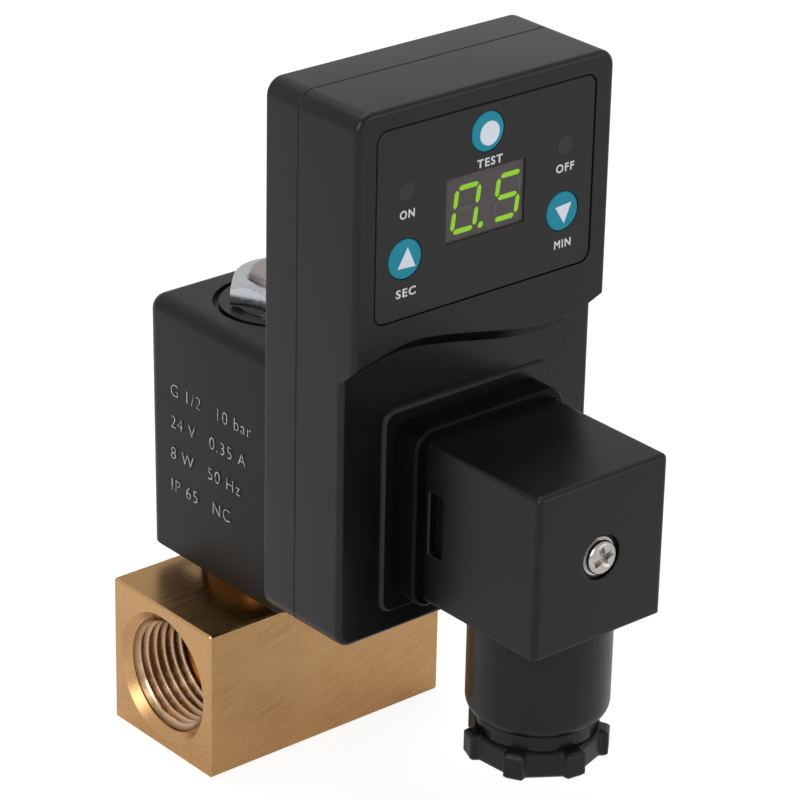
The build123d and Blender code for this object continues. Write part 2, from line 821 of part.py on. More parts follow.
with BuildPart() as timer_front_housing:
    with BuildSketch(facing(parting)):
        with Locations((0, timer_middle)):
            RectangleRounded(timer_width, timer_height, timer_corner)
    extrude(amount=parting - lower_face)
    fillet(timer_front_housing.edges().group_by(Axis.Y)[0], front_round)
    add(panel_block.part)
    chamfer(timer_front_housing.faces().sort_by(Axis.Y)[-1].outer_wire().edges(), parting_chamfer)
    # Pad under the cable plug
    with BuildSketch(facing(lower_face)):
        with Locations((0, connector_height)):
            RectangleRounded(pad_width, pad_height, pad_corner)
    extrude(amount=pad_rise)
    pad_edges = timer_front_housing.faces().filter_by(
        lambda face: abs(face.center().Y - pad_face) < pad_edge / 2 and face.normal_at().Y < -0.9
    )
    chamfer(pad_edges.sort_by(Axis.Z)[0].edges(), pad_edge)
    # Hollow inside: all of the shell to the lower wall, and on to the panel above the step
    with BuildSketch(facing(parting)):
        with Locations((0, timer_middle)):
            RectangleRounded(timer_width - 2 * wall, timer_height - 2 * wall, cavity_corner)
    extrude(amount=parting - lower_inner, mode=Mode.SUBTRACT)
    with BuildSketch(facing(lower_inner)):
        with Locations((0, (upper_cavity_top + upper_cavity_bottom) / 2)):
            RectangleRounded(
                timer_width - 2 * wall, upper_cavity_top - upper_cavity_bottom, cavity_corner
            )
    extrude(amount=lower_inner - panel_inner, mode=Mode.SUBTRACT)
    # Pocket for the keypad, with openings for keys, indicators and display
    with BuildSketch(facing(panel_face)):
        with Locations((0, panel_middle)):
            RectangleRounded(pocket_width, pocket_height, pocket_corner)
    extrude(amount=-pocket_depth, mode=Mode.SUBTRACT)
    with BuildSketch(facing(pocket_floor)):
        with Locations(*keys.values()):
            Circle(key_hole_radius)
        with Locations(*led_places):
            Circle(led_hole_radius)
        with Locations((0, window_middle)):
            Rectangle(display_width + 2 * display_clearance, display_height + 2 * display_clearance)
    extrude(amount=-wall, mode=Mode.SUBTRACT)
    # Screw posts, board posts and the central sleeve
    for x, z, floor in case_screws:
        with BuildSketch(facing(floor)):
            with Locations((x, z)):
                Circle(case_post_radius)
        extrude(amount=floor - parting)
    for x, z, floor in board_posts:
        with BuildSketch(facing(floor)):
            with Locations((x, z)):
                Circle(post_radius)
        extrude(amount=floor - board_front)
    with BuildSketch(facing(rear_floor)):
        with Locations((0, connector_height)):
            Circle(sleeve_radius)
    extrude(amount=rear_floor - lower_inner)
    # Groove for the rear shell's sealing tongue
    with BuildSketch(facing(parting)):
        with Locations((0, timer_middle)):
            groove = tongue_width + tongue_clearance
            RectangleRounded(
                timer_width - 2 * (wall - groove),
                timer_height - 2 * (wall - groove),
                cavity_corner + groove,
            )
            RectangleRounded(
                timer_width - 2 * wall - 2 * tongue_clearance,
                timer_height - 2 * wall - 2 * tongue_clearance,
                cavity_corner,
                mode=Mode.SUBTRACT,
            )
    extrude(amount=tongue_height + tongue_clearance, mode=Mode.SUBTRACT)
    # Stiffening ribs behind the lower wall
    with BuildSketch(facing(lower_inner)):
        with Locations((0, connector_height + rib_height)):
            with GridLocations(rib_spread, 1, 2, 1):
                Rectangle(rib_thickness, rib_length)
    extrude(amount=-rib_height)
    # Holes: case screws, long central screw and the blades of the front connector
    with BuildSketch(facing(parting)):
        with Locations(*[(x, z) for x, z, _ in case_screws]):
            Circle(case_screw_radius)
    extrude(amount=case_screw_length - case_head_recess - wall, mode=Mode.SUBTRACT)
    with BuildSketch(facing(rear_floor)):
        with Locations((0, connector_height)):
            Circle(screw_hole_radius)
    extrude(amount=rear_floor - pad_face, mode=Mode.SUBTRACT)
    with BuildSketch(facing(lower_inner)):
        for x, z, width, height in contacts:
            with Locations((x, z)):
                Rectangle(width, height)
    extrude(amount=lower_inner - pad_face, mode=Mode.SUBTRACT)
finish(timer_front_housing, "timer_front_housing")

with BuildPart() as timer_screws:
    with BuildSketch(facing(timer_face - case_head_recess)):
        with Locations(*[(x, z) for x, z, _ in case_screws]):
            Circle(case_head_radius)
    extrude(amount=-case_head_height)
    with BuildSketch(facing(timer_face - case_head_recess)):
        with Locations(*[(x, z) for x, z, _ in case_screws]):
            Circle(case_screw_radius)
    extrude(amount=case_screw_length)
finish(timer_screws, "timer_screws")

# ---------------------------------------------------------------- keypad, board and electronics

with BuildPart() as keypad_membrane:
    with BuildSketch(facing(pocket_floor)):
        with Locations((0, panel_middle)):
            RectangleRounded(
                pocket_width - 2 * membrane_gap,
                pocket_height - 2 * membrane_gap,
                pocket_corner - membrane_gap,
            )
        with Locations(*keys.values()):
            Circle(key_hole_radius, mode=Mode.SUBTRACT)
        with Locations((0, window_middle)):
            Rectangle(window_width, window_height, mode=Mode.SUBTRACT)
    extrude(amount=membrane_thickness)
finish(keypad_membrane, "keypad_membrane")

with BuildPart() as display_window:
    with BuildSketch(facing(pocket_floor)):
        with Locations((0, window_middle)):
            Rectangle(window_width, window_height)
    extrude(amount=membrane_thickness)
finish(display_window, "display_window")

for name, (x, z) in keys.items():
    with BuildPart() as key:
        with BuildSketch(facing(panel_inner)):
            with Locations((x, z)):
                Circle(key_radius)
        extrude(amount=panel_inner - key_face)
        chamfer(key.edges().group_by(Axis.Y)[0], key_edge)
        with BuildSketch(facing(panel_inner)):
            with Locations((x, z)):
                Circle(key_collar_radius)
        extrude(amount=-key_collar_height)
        with BuildSketch(facing(key_end)):
            with Locations((x, z)):
                Circle(key_stem_radius)
        extrude(amount=key_end - panel_inner)
    finish(key, name)

with BuildPart() as control_board:
    with BuildSketch(facing(board_back)):
        with Locations((0, (board_top + board_bottom) / 2)):
            Rectangle(board_waist, board_top - board_bottom)
            Rectangle(board_width, board_top - board_bottom - 2 * board_shoulder)
        with Locations((0, connector_height)):
            Circle(sleeve_radius + display_clearance, mode=Mode.SUBTRACT)
    extrude(amount=board_thickness)
finish(control_board, "control_board")

with BuildPart() as display_module:
    with BuildSketch(facing(board_front)):
        with Locations((0, window_middle)):
            Rectangle(display_width, display_height)
    extrude(amount=display_depth)
finish(display_module, "display_module")

with BuildPart() as tact_switches:
    with BuildSketch(facing(board_front)):
        with Locations(*keys.values()):
            Rectangle(switch_size, switch_size)
    extrude(amount=switch_body)
    with BuildSketch(facing(switch_face)):
        with Locations(*keys.values()):
            Circle(switch_plunger_radius)
    extrude(amount=switch_plunger_height)
finish(tact_switches, "tact_switches")

with BuildPart() as indicator_leds:
    with BuildSketch(facing(board_front)):
        with Locations(*led_places):
            Circle(led_flange_radius)
    extrude(amount=led_standoff)
    with BuildSketch(facing(board_front)):
        with Locations(*led_places):
            Circle(led_radius)
    extrude(amount=board_front - pocket_floor - led_gap)
finish(indicator_leds, "indicator_leds")

with BuildPart() as controller_chip:
    with BuildSketch(facing(board_front)):
        with Locations(chip_place):
            Rectangle(chip_size[0], chip_size[1])
    extrude(amount=chip_size[2])
    with BuildSketch(facing(board_front)):
        with Locations(chip_place):
            with GridLocations(chip_pitch, chip_size[1] + chip_leg[1] / 2, 5, 2):
                Rectangle(chip_leg[0], chip_leg[1])
    extrude(amount=chip_leg[2])
finish(controller_chip, "controller_chip")

with BuildPart() as capacitor:
    with BuildSketch(facing(board_back)):
        with Locations(capacitor_place):
            Circle(capacitor_radius)
    extrude(amount=-capacitor_length)
    chamfer(capacitor.edges().group_by(Axis.Y)[-1], key_edge)
finish(capacitor, "capacitor")

with BuildPart() as triac:
    with BuildSketch(facing(board_back)):
        with Locations(triac_place):
            Rectangle(triac_size[0], triac_size[1])
    extrude(amount=-triac_size[2])
    with BuildSketch(facing(board_back)):
        with Locations((triac_place[0], triac_place[1] + (triac_size[1] + triac_tab[1]) / 2)):
            Rectangle(triac_tab[0], triac_tab[1])
            Circle(triac_hole, mode=Mode.SUBTRACT)
    extrude(amount=-triac_tab[2])
finish(triac, "triac")

with BuildPart() as rear_sockets:
    with BuildSketch(facing(rear_floor)):
        for x, z, width, height in contacts:
            with Locations((x, z)):
                Rectangle(width + 2 * socket_wall, height + 2 * socket_wall)
                Rectangle(
                    width + 2 * blade_slot_clearance,
                    height + 2 * blade_slot_clearance,
                    mode=Mode.SUBTRACT,
                )
    extrude(amount=socket_length)
    with BuildSketch(facing(rear_floor - socket_length)):
        for x, z, width, height in contacts:
            with Locations((x, z)):
                Rectangle(width + 2 * socket_wall, height + 2 * socket_wall)
    extrude(amount=blade_thickness)
    with BuildSketch(facing(rear_floor - socket_length)):
        for x, z, width, height in contacts:
            with Locations((x, z)):
                Rectangle(socket_tail[0], socket_tail[1])
    extrude(amount=rear_floor - socket_length - board_back)
finish(rear_sockets, "rear_sockets")

with BuildPart() as front_blades:
    with BuildSketch(facing(board_front)):
        for x, z, width, height in contacts:
            with Locations((x, z)):
                Rectangle(width, height)
    extrude(amount=board_front - pad_face + blade_reach)
finish(front_blades, "front_blades")

# ---------------------------------------------------------------- cable plug

with BuildPart() as plug_gasket:
    with BuildSketch(facing(pad_face)):
        with Locations((0, connector_height)):
            RectangleRounded(gasket_width, gasket_height, gasket_corner)
    extrude(amount=gasket_depth)
    chamfer(plug_gasket.edges().group_by(Axis.Y)[0], gasket_lip_slope)
    with BuildSketch(facing(plug_rear)):
        with Locations((0, connector_height)):
            Rectangle(plug_width, plug_height)
    extrude(amount=gasket_depth - gasket_base, mode=Mode.SUBTRACT)
    with BuildSketch(facing(pad_face)):
        with Locations((0, connector_height)):
            Rectangle(gasket_window, gasket_window)
    extrude(amount=gasket_base, mode=Mode.SUBTRACT)
finish(plug_gasket, "plug_gasket")

with BuildPart() as plug_housing:
    with BuildSketch(facing(plug_rear)):
        with Locations((0, connector_height)):
            Rectangle(plug_width, plug_height)
    extrude(amount=plug_depth)
    fillet(plug_housing.edges().filter_by(Axis.Z).group_by(Axis.Y)[0], plug_round)
    top_edges = plug_housing.faces().sort_by(Axis.Z)[-1].edges()
    fillet(top_edges.sort_by(Axis.Y)[:-1], plug_round)
    # Boss of the cable gland below
    with BuildSketch(Plane.XY.offset(boss_bottom)):
        with Locations((0, gland_axis)):
            Circle(boss_radius)
    extrude(amount=boss_length)
    fillet(plug_housing.edges().group_by(Axis.Z)[0], boss_round)
    with BuildSketch(Plane.XY.offset(neck_bottom)):
        with Locations((0, gland_axis)):
            Circle(neck_radius)
    extrude(amount=neck_length)
    # Hollow for the contact insert and the wires
    with BuildSketch(facing(plug_rear)):
        with Locations((0, connector_height)):
            Rectangle(plug_width - 2 * plug_wall, plug_height - 2 * plug_wall)
    extrude(amount=plug_rear - plug_inner_front, mode=Mode.SUBTRACT)
    with BuildSketch(facing(insert_front)):
        with Locations((0, connector_height)):
            Circle(plug_sleeve_radius)
    extrude(amount=insert_front - plug_inner_front)
    with BuildSketch(facing(insert_front)):
        with Locations((0, connector_height)):
            Circle(screw_hole_radius)
    extrude(amount=insert_front - plug_front, mode=Mode.SUBTRACT)
    with BuildSketch(facing(plug_front)):
        with Locations((0, connector_height)):
            Circle(counterbore_radius)
    extrude(amount=-counterbore_depth, mode=Mode.SUBTRACT)
    with BuildSketch(Plane.XY.offset(neck_bottom)):
        with Locations((0, gland_axis)):
            Circle(wire_bore_radius)
    extrude(amount=plug_bottom + plug_wall - neck_bottom, mode=Mode.SUBTRACT)
    with BuildSketch(Plane.XY.offset(neck_bottom)):
        with Locations((0, gland_axis)):
            Circle(gland_bore_radius)
    extrude(amount=gland_bore_depth, mode=Mode.SUBTRACT)
    # A latch window in each side wall
    with BuildSketch(Plane.YZ):
        with Locations((plug_rear - latch_from_rear - latch_length / 2, connector_height)):
            Rectangle(latch_length, latch_height)
    extrude(amount=plug_width / 2, both=True, mode=Mode.SUBTRACT)
finish(plug_housing, "plug_housing")

with BuildPart() as plug_insert:
    with BuildSketch(facing(plug_rear)):
        with Locations((0, connector_height)):
            Rectangle(
                plug_width - 2 * plug_wall - 2 * insert_block_gap,
                plug_height - 2 * plug_wall - 2 * insert_block_gap,
            )
    extrude(amount=insert_block_depth)
    # Latch noses that snap into the housing's windows
    with BuildSketch(Plane.YZ):
        with Locations((plug_rear - latch_from_rear - latch_length / 2, connector_height)):
            Rectangle(
                latch_length - 2 * insert_block_gap, latch_height - 2 * insert_block_gap
            )
    extrude(amount=plug_width / 2 - plug_wall + latch_nose, both=True)
    with BuildSketch(facing(plug_rear)):
        for x, z, width, height in contacts:
            with Locations((x, z)):
                Rectangle(width + 2 * socket_wall, height + 2 * socket_wall)
        with Locations((0, connector_height)):
            Circle(screw_hole_radius)
    extrude(amount=insert_block_depth, mode=Mode.SUBTRACT)
finish(plug_insert, "plug_insert")

with BuildPart() as plug_contacts:
    with BuildSketch(facing(contact_rear)):
        for x, z, width, height in contacts:
            with Locations((x, z)):
                Rectangle(width + 2 * socket_wall, height + 2 * socket_wall)
    extrude(amount=contact_rear - insert_front)
    with BuildSketch(facing(contact_rear)):
        for x, z, width, height in contacts:
            with Locations((x, z)):
                Rectangle(width + 2 * blade_slot_clearance, height + 2 * blade_slot_clearance)
    extrude(amount=contact_slot, mode=Mode.SUBTRACT)
    with BuildSketch(facing(insert_front)):
        for x, z, _, _ in contacts:
            with Locations((x, z)):
                Circle(terminal_screw_radius)
    extrude(amount=-terminal_screw_length, mode=Mode.SUBTRACT)
finish(plug_contacts, "plug_contacts")

with BuildPart() as terminal_screws:
    with BuildSketch(facing(insert_front)):
        for x, z, _, _ in contacts:
            with Locations((x, z)):
                Circle(terminal_screw_radius)
    extrude(amount=-terminal_screw_length)
    with BuildSketch(facing(insert_front)):
        for x, z, _, _ in contacts:
            with Locations((x, z)):
                Circle(terminal_head_radius)
    extrude(amount=terminal_head_height)
finish(terminal_screws, "terminal_screws")

with BuildPart() as plug_screw:
    with BuildSketch(facing(screw_end)):
        with Locations((0, connector_height)):
            Circle(plug_screw_radius)
    extrude(amount=screw_end - screw_seat)
    with BuildSketch(facing(screw_seat)):
        with Locations((0, connector_height)):
            Circle(plug_head_radius)
    extrude(amount=plug_head_height)
    chamfer(plug_screw.edges().group_by(Axis.Y)[0], plug_head_edge)
finish(plug_screw, "plug_screw")

with BuildPart() as plug_screw_washer:
    with BuildSketch(facing(counterbore_floor)):
        with Locations((0, connector_height)):
            Circle(plug_washer_radius)
            Circle(screw_hole_radius, mode=Mode.SUBTRACT)
    extrude(amount=plug_washer_thickness)
finish(plug_screw_washer, "plug_screw_washer")

# ---------------------------------------------------------------- cable gland

with BuildPart() as gland_seal:
    with BuildSketch(Plane.XY.offset(seal_bottom)):
        with Locations((0, gland_axis)):
            Circle(gland_bore_radius - gland_seal_gap)
            Circle(gland_seal_bore, mode=Mode.SUBTRACT)
    extrude(amount=gland_shoulder - seal_bottom)
finish(gland_seal, "gland_seal")

with BuildPart() as gland_washer:
    with BuildSketch(Plane.XY.offset(washer_seat)):
        with Locations((0, gland_axis)):
            Circle(gland_bore_radius - gland_washer_clearance)
            Circle(gland_washer_bore, mode=Mode.SUBTRACT)
    extrude(amount=gland_washer_thickness)
finish(gland_washer, "gland_washer")

with BuildPart() as gland_nut:
    with BuildSketch(Plane.XY.offset(gland_nut_bottom)):
        with Locations((0, gland_axis)):
            RegularPolygon(
                gland_nut_apothem, gland_nut_lobes, major_radius=False, rotation=gland_nut_turned
            )
            with PolarLocations(
                lobe_radius - lobe_height / 2, gland_nut_lobes, start_angle=gland_nut_turned
            ):
                Trapezoid(lobe_root_width, lobe_height, lobe_flank_angle, rotation=-90)
    extrude(amount=gland_nut_height)
    chamfer(gland_nut.edges().group_by(Axis.Z)[0], gland_nut_edge)
    chamfer(gland_nut.edges().group_by(Axis.Z)[-1], gland_nut_edge)
    with BuildSketch(Plane.XY.offset(washer_seat)):
        with Locations((0, gland_axis)):
            Circle(neck_radius + gland_nut_clearance)
    extrude(amount=gland_nut_height, mode=Mode.SUBTRACT)
    with BuildSketch(Plane.XY.offset(gland_nut_bottom)):
        with Locations((0, gland_axis)):
            Circle(gland_nut_bore)
    extrude(amount=gland_nut_floor, mode=Mode.SUBTRACT)
finish(gland_nut, "gland_nut")
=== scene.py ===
# %% [markdown]
# # Dressing an automatic drain valve
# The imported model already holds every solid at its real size: the brass valve block, the coil, the
# timer box and the cable plug. This script gives each of them the surface it has in life, adds what
# is too fine for the solids, such as threads, print and screw recesses, and lights the result.
# The model is loaded first. Everything made later takes its place from it.

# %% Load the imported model
import json
import math

import bmesh
import bpy
from mathutils import Matrix, Vector


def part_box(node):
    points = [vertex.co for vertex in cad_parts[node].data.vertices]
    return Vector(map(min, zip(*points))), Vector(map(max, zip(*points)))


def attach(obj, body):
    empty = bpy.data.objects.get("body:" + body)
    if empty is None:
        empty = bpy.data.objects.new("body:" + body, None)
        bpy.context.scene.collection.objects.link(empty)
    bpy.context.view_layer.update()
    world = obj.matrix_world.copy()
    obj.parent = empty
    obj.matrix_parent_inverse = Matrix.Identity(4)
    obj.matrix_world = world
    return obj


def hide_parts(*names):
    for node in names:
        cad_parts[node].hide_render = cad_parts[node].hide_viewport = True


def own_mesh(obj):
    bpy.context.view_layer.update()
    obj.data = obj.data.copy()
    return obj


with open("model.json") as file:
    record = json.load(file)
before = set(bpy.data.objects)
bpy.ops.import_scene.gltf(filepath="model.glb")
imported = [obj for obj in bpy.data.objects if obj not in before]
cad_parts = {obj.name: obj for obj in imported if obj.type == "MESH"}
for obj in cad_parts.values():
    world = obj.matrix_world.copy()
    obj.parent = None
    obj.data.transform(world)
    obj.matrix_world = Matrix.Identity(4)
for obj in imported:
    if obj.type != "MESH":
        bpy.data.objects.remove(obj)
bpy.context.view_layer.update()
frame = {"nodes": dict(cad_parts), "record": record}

nodes = frame["nodes"]
MM = 0.001

# %% [markdown]
# ## Camera
# A long lens, above the valve and to its left, flattens the perspective, so that upright edges stay
# nearly parallel. The camera is described by what it looks at, the direction it looks from, how far
# away it stands and how much it is tilted. Its axes are worked out from those values.

# %% Camera
look_at = Vector((1.90, -30.0, 70.78)) * MM
camera_azimuth = math.radians(-40.57)
camera_elevation = math.radians(24.89)
camera_roll = math.radians(1.25)
camera_distance = 614.5 * MM
focal_length = 164.9
sensor_width = 36.0

back = Vector((
    math.sin(camera_azimuth) * math.cos(camera_elevation),
    -math.cos(camera_azimuth) * math.cos(camera_elevation),
    math.sin(camera_elevation),
))
level_right = Vector((0, 0, 1)).cross(back).normalized()
level_up = back.cross(level_right)
right = level_right * math.cos(camera_roll) + level_up * math.sin(camera_roll)
up = level_up * math.cos(camera_roll) - level_right * math.sin(camera_roll)

lens = bpy.data.cameras.new("camera")
lens.lens = focal_length
lens.sensor_width = sensor_width
lens.clip_start = 0.01
lens.clip_end = 10.0
camera = bpy.data.objects.new("camera", lens)
camera.matrix_world = Matrix((right, up, back)).transposed().to_4x4()
camera.location = look_at + back * camera_distance
bpy.context.scene.collection.objects.link(camera)
bpy.context.scene.camera = camera
print("camera stands at", [round(value, 3) for value in camera.location])

# %% [markdown]
# ## Materials: a short way to write node trees
# Each finish is a small tree of shader nodes. These helpers add a node, stretch a value over a new
# range, mix two colours by a mask, and set up a material or a node group, so that each finish below
# reads as a list of what it does.

# %% Node helpers
def add_node(tree, kind, inputs=None, **settings):
    """Add a shader node, set its properties and then its unlinked inputs."""
    node = tree.nodes.new(kind)
    for name, value in settings.items():
        setattr(node, name, value)
    for name, value in (inputs or {}).items():
        node.inputs[name].default_value = value
    return node


def ramp(tree, source, low, high, low_value=0.0, high_value=1.0):
    """Stretch the part of a value between low and high over a new range."""
    node = add_node(tree, "ShaderNodeMapRange", {
        "From Min": low, "From Max": high, "To Min": low_value, "To Max": high_value,
    })
    tree.links.new(source, node.inputs["Value"])
    return node.outputs["Result"]


def blend_colours(tree, mask, first, second):
    """Mix two colours, each a tuple or a socket, by a mask."""
    node = add_node(tree, "ShaderNodeMix", data_type="RGBA")
    tree.links.new(mask, node.inputs["Factor"])
    for name, colour in (("A", first), ("B", second)):
        socket = [one for one in node.inputs if one.name == name and one.type == "RGBA"][0]
        if isinstance(colour, tuple):
            socket.default_value = (*colour, 1.0)
        else:
            tree.links.new(colour, socket)
    return [one for one in node.outputs if one.type == "RGBA"][0]


def new_material(name, metallic=0.0, specular=0.5):
    """A material, its node tree and its main shader."""
    material = bpy.data.materials.new(name)
    material.use_nodes = True
    tree = material.node_tree
    shader = tree.nodes["Principled BSDF"]
    shader.inputs["Metallic"].default_value = metallic
    shader.inputs["Specular IOR Level"].default_value = specular
    return material, tree, shader


def new_group(name, inputs, outputs):
    """A node group with float inputs, given as name and default, and typed outputs."""
    group = bpy.data.node_groups.new(name, "ShaderNodeTree")
    for label, default in inputs:
        socket = group.interface.new_socket(label, in_out="INPUT", socket_type="NodeSocketFloat")
        socket.default_value = default
    for label, kind in outputs:
        group.interface.new_socket(label, in_out="OUTPUT", socket_type=kind)
    entry = group.nodes.new("NodeGroupInput")
    result = group.nodes.new("NodeGroupOutput")
    return group, entry, result


def use_group(tree, group, **values):
    """Place a node group in a material with its own values."""
    node = tree.nodes.new("ShaderNodeGroup")
    node.node_tree = group
    for name, value in values.items():
        node.inputs[name.replace("_", " ")].default_value = value
    return node


print("ready: helpers for nodes, materials and groups")

# %% [markdown]
# ## Moulded grain
# A moulding takes the fine spark-eroded grain of its tool. Under a soft light it breaks up every
# reflection a little, and large areas also vary slowly in gloss where the plastic flowed. No
# moulded edge is quite sharp either, and its small round catches a line of light. A Bevel node
# bends the normal near an edge as such a round does. The group gives one normal for grain and
# edges, a cloud value for the slow change, a speck value for dust and an edge mask.

# %% Moulded grain group
grain_height = 0.02 * MM
clouds_per_metre = 55.0
specks_per_metre = 2600.0
grain_group, grain_in, grain_out = new_group(
    "moulded grain",
    [("Grain per metre", 5000.0), ("Depth", 0.3), ("Edge radius", 0.18 * MM)],
    [
        ("Normal", "NodeSocketVector"), ("Cloud", "NodeSocketFloat"), ("Speck", "NodeSocketFloat"),
        ("Edge", "NodeSocketFloat"),
    ],
)
link = grain_group.links.new
place = add_node(grain_group, "ShaderNodeTexCoord")
fine = add_node(grain_group, "ShaderNodeTexNoise", {"Detail": 2.0, "Roughness": 0.6})
link(place.outputs["Object"], fine.inputs["Vector"])
link(grain_in.outputs["Grain per metre"], fine.inputs["Scale"])
bump = add_node(grain_group, "ShaderNodeBump", {"Distance": grain_height})
link(grain_in.outputs["Depth"], bump.inputs["Strength"])
link(fine.outputs["Fac"], bump.inputs["Height"])
soft_edge = add_node(grain_group, "ShaderNodeBevel", samples=6)
link(grain_in.outputs["Edge radius"], soft_edge.inputs["Radius"])
link(soft_edge.outputs["Normal"], bump.inputs["Normal"])
link(bump.outputs["Normal"], grain_out.inputs["Normal"])
# Edge: where the softened normal has turned away from the true one
surface = add_node(grain_group, "ShaderNodeNewGeometry")
alike = add_node(grain_group, "ShaderNodeVectorMath", operation="DOT_PRODUCT")
link(soft_edge.outputs["Normal"], alike.inputs[0])
link(surface.outputs["Normal"], alike.inputs[1])
edge_mask = ramp(grain_group, alike.outputs["Value"], 0.80, 0.98, 1.0, 0.0)
link(edge_mask, grain_out.inputs["Edge"])
slow = add_node(
    grain_group, "ShaderNodeTexNoise",
    {"Scale": clouds_per_metre, "Detail": 4.0, "Roughness": 0.6},
)
link(place.outputs["Object"], slow.inputs["Vector"])
link(ramp(grain_group, slow.outputs["Fac"], 0.35, 0.65), grain_out.inputs["Cloud"])
dots = add_node(
    grain_group, "ShaderNodeTexNoise",
    {"Scale": specks_per_metre, "Detail": 1.0, "Roughness": 0.5},
)
link(place.outputs["Object"], dots.inputs["Vector"])
link(ramp(grain_group, dots.outputs["Fac"], 0.70, 0.76), grain_out.inputs["Speck"])
print("made group", grain_group.name)

# %% [markdown]
# ## Black plastics and rubber
# All the black parts are different blacks: the timer box is satin, the coil is a duller resin, the
# plug is nylon whose edges are rubbed paler, and the gaskets are dull rubber. One function makes
# them from the same grain, each with its own colour, gloss, grain size and amount of dust. The
# coloured mouldings on the circuit board come from it too.

# %% Black mouldings
dust_colour = (0.35, 0.34, 0.32)
rubbed_colour = (0.045, 0.044, 0.044)


def moulded_plastic(
    name, colour, roughness_range, grain=5000.0, depth=0.3, dust=0.05, dark_share=0.85,
    specular=0.5, edge=0.18 * MM, rub=0.0,
):
    """A grained plastic. Clouds darken it to dark_share, and rub is the wear on its edges."""
    material, tree, shader = new_material(name, specular=specular)
    group = use_group(tree, grain_group, Grain_per_metre=grain, Depth=depth, Edge_radius=edge)
    darker = tuple(channel * dark_share for channel in colour)
    body = blend_colours(tree, group.outputs["Cloud"], darker, colour)
    speck = add_node(tree, "ShaderNodeMath", {1: dust}, operation="MULTIPLY")
    tree.links.new(group.outputs["Speck"], speck.inputs[0])
    finished = blend_colours(tree, speck.outputs["Value"], body, dust_colour)
    if rub:
        rubbed = add_node(tree, "ShaderNodeMath", {1: rub}, operation="MULTIPLY")
        tree.links.new(group.outputs["Edge"], rubbed.inputs[0])
        finished = blend_colours(tree, rubbed.outputs["Value"], finished, rubbed_colour)
    tree.links.new(finished, shader.inputs["Base Color"])
    roughness = ramp(tree, group.outputs["Cloud"], 0, 1, *roughness_range)
    tree.links.new(roughness, shader.inputs["Roughness"])
    tree.links.new(group.outputs["Normal"], shader.inputs["Normal"])
    return material


timer_plastic = moulded_plastic(
    "timer plastic", (0.0042, 0.0040, 0.0042), (0.26, 0.32), 5200, 0.20, 0.03, specular=0.38
)
coil_resin = moulded_plastic(
    "coil resin", (0.0046, 0.0042, 0.0044), (0.34, 0.42), 4200, 0.30, 0.04, specular=0.32
)
plug_nylon = moulded_plastic(
    "plug nylon", (0.0042, 0.0038, 0.0040), (0.26, 0.34), 5600, 0.22, 0.03, specular=0.34,
    edge=0.65 * MM, rub=0.5,
)
gasket_rubber = moulded_plastic(
    "gasket rubber", (0.0015, 0.0015, 0.0021), (0.38, 0.48), 3600, 0.30, 0.03, specular=0.12
)
seal_rubber = moulded_plastic(
    "seal rubber", (0.0060, 0.0060, 0.0060), (0.50, 0.60), 3800, 0.35, 0.05
)
inner_nylon = moulded_plastic(
    "inner nylon", (0.012, 0.012, 0.013), (0.35, 0.45), 5200, 0.25, specular=0.35
)
insert_black = moulded_plastic(
    "insert black", (0.002, 0.002, 0.002), (0.40, 0.50), 5200, 0.2, specular=0.10
)
print("made the black mouldings")

# %% Mouldings on the circuit board
switch_plastic = moulded_plastic(
    "switch plastic", (0.015, 0.015, 0.016), (0.35, 0.45), 5200, 0.20
)
chip_epoxy = moulded_plastic("chip epoxy", (0.012, 0.012, 0.012), (0.50, 0.60), 4200, 0.40)
capacitor_sleeve = moulded_plastic(
    "capacitor sleeve", (0.01, 0.02, 0.08), (0.25, 0.35), 2500, 0.15
)
circuit_board = moulded_plastic(
    "circuit board", (0.01, 0.10, 0.03), (0.30, 0.42), 1500, 0.25, 0.05, 0.75
)
print("made the board's mouldings")

# %% [markdown]
# ## Keypad film
# The film is a smooth, slightly grey sheet. It has a faint silk texture, for which the same
# function gives a very fine and shallow grain, and its gloss changes where fingers have wiped it.
# Two round indicator spots are printed on it in a clearer black that the lamps behind can shine
# through. The keys are teal, and their symbols and the words beside them are pale print.

# %% Keypad film, keys and prints
keypad_film = moulded_plastic(
    "keypad film", (0.0056, 0.0056, 0.0056), (0.22, 0.28), 9000, 0.06, 0.02, 0.94, specular=0.42
)
indicator_lens = moulded_plastic(
    "indicator lens", (0.30, 0.03, 0.02), (0.25, 0.35), 6000, 0.08, 0.02
)
spot_print = moulded_plastic(
    "spot print", (0.014, 0.010, 0.009), (0.26, 0.32), 9000, 0.06, 0.02, 0.95
)
key_teal = moulded_plastic(
    "key teal", (0.002, 0.262, 0.375), (0.30, 0.40), 7000, 0.10, 0.02, 0.90, specular=0.3
)
key_symbol = moulded_plastic(
    "key symbol print", (0.74, 0.80, 0.90), (0.35, 0.45), 7000, 0.10, 0.02, 0.96
)
label_print = moulded_plastic(
    "label print", (0.74, 0.76, 0.80), (0.40, 0.50), 7000, 0.10, 0.02, 0.94
)
display_face = moulded_plastic(
    "display face", (0.155, 0.134, 0.130), (0.40, 0.50), 3000, 0.10, 0.03, 0.93
)
print("made the film and its prints")

# %% [markdown]
# ## Machined brass
# The block is cut from square drawn bar. Its long faces show fine brushed lines at a slant, its
# ends are faced smoother, and handling leaves slightly darker, browner patches. The lines are noise
# that is stretched far along one direction, so that it turns into streaks. They lean on the long
# sides only, so the slant is weighed by how far the surface looks along Y. On the ends, which look
# along X, the depth is taken back.

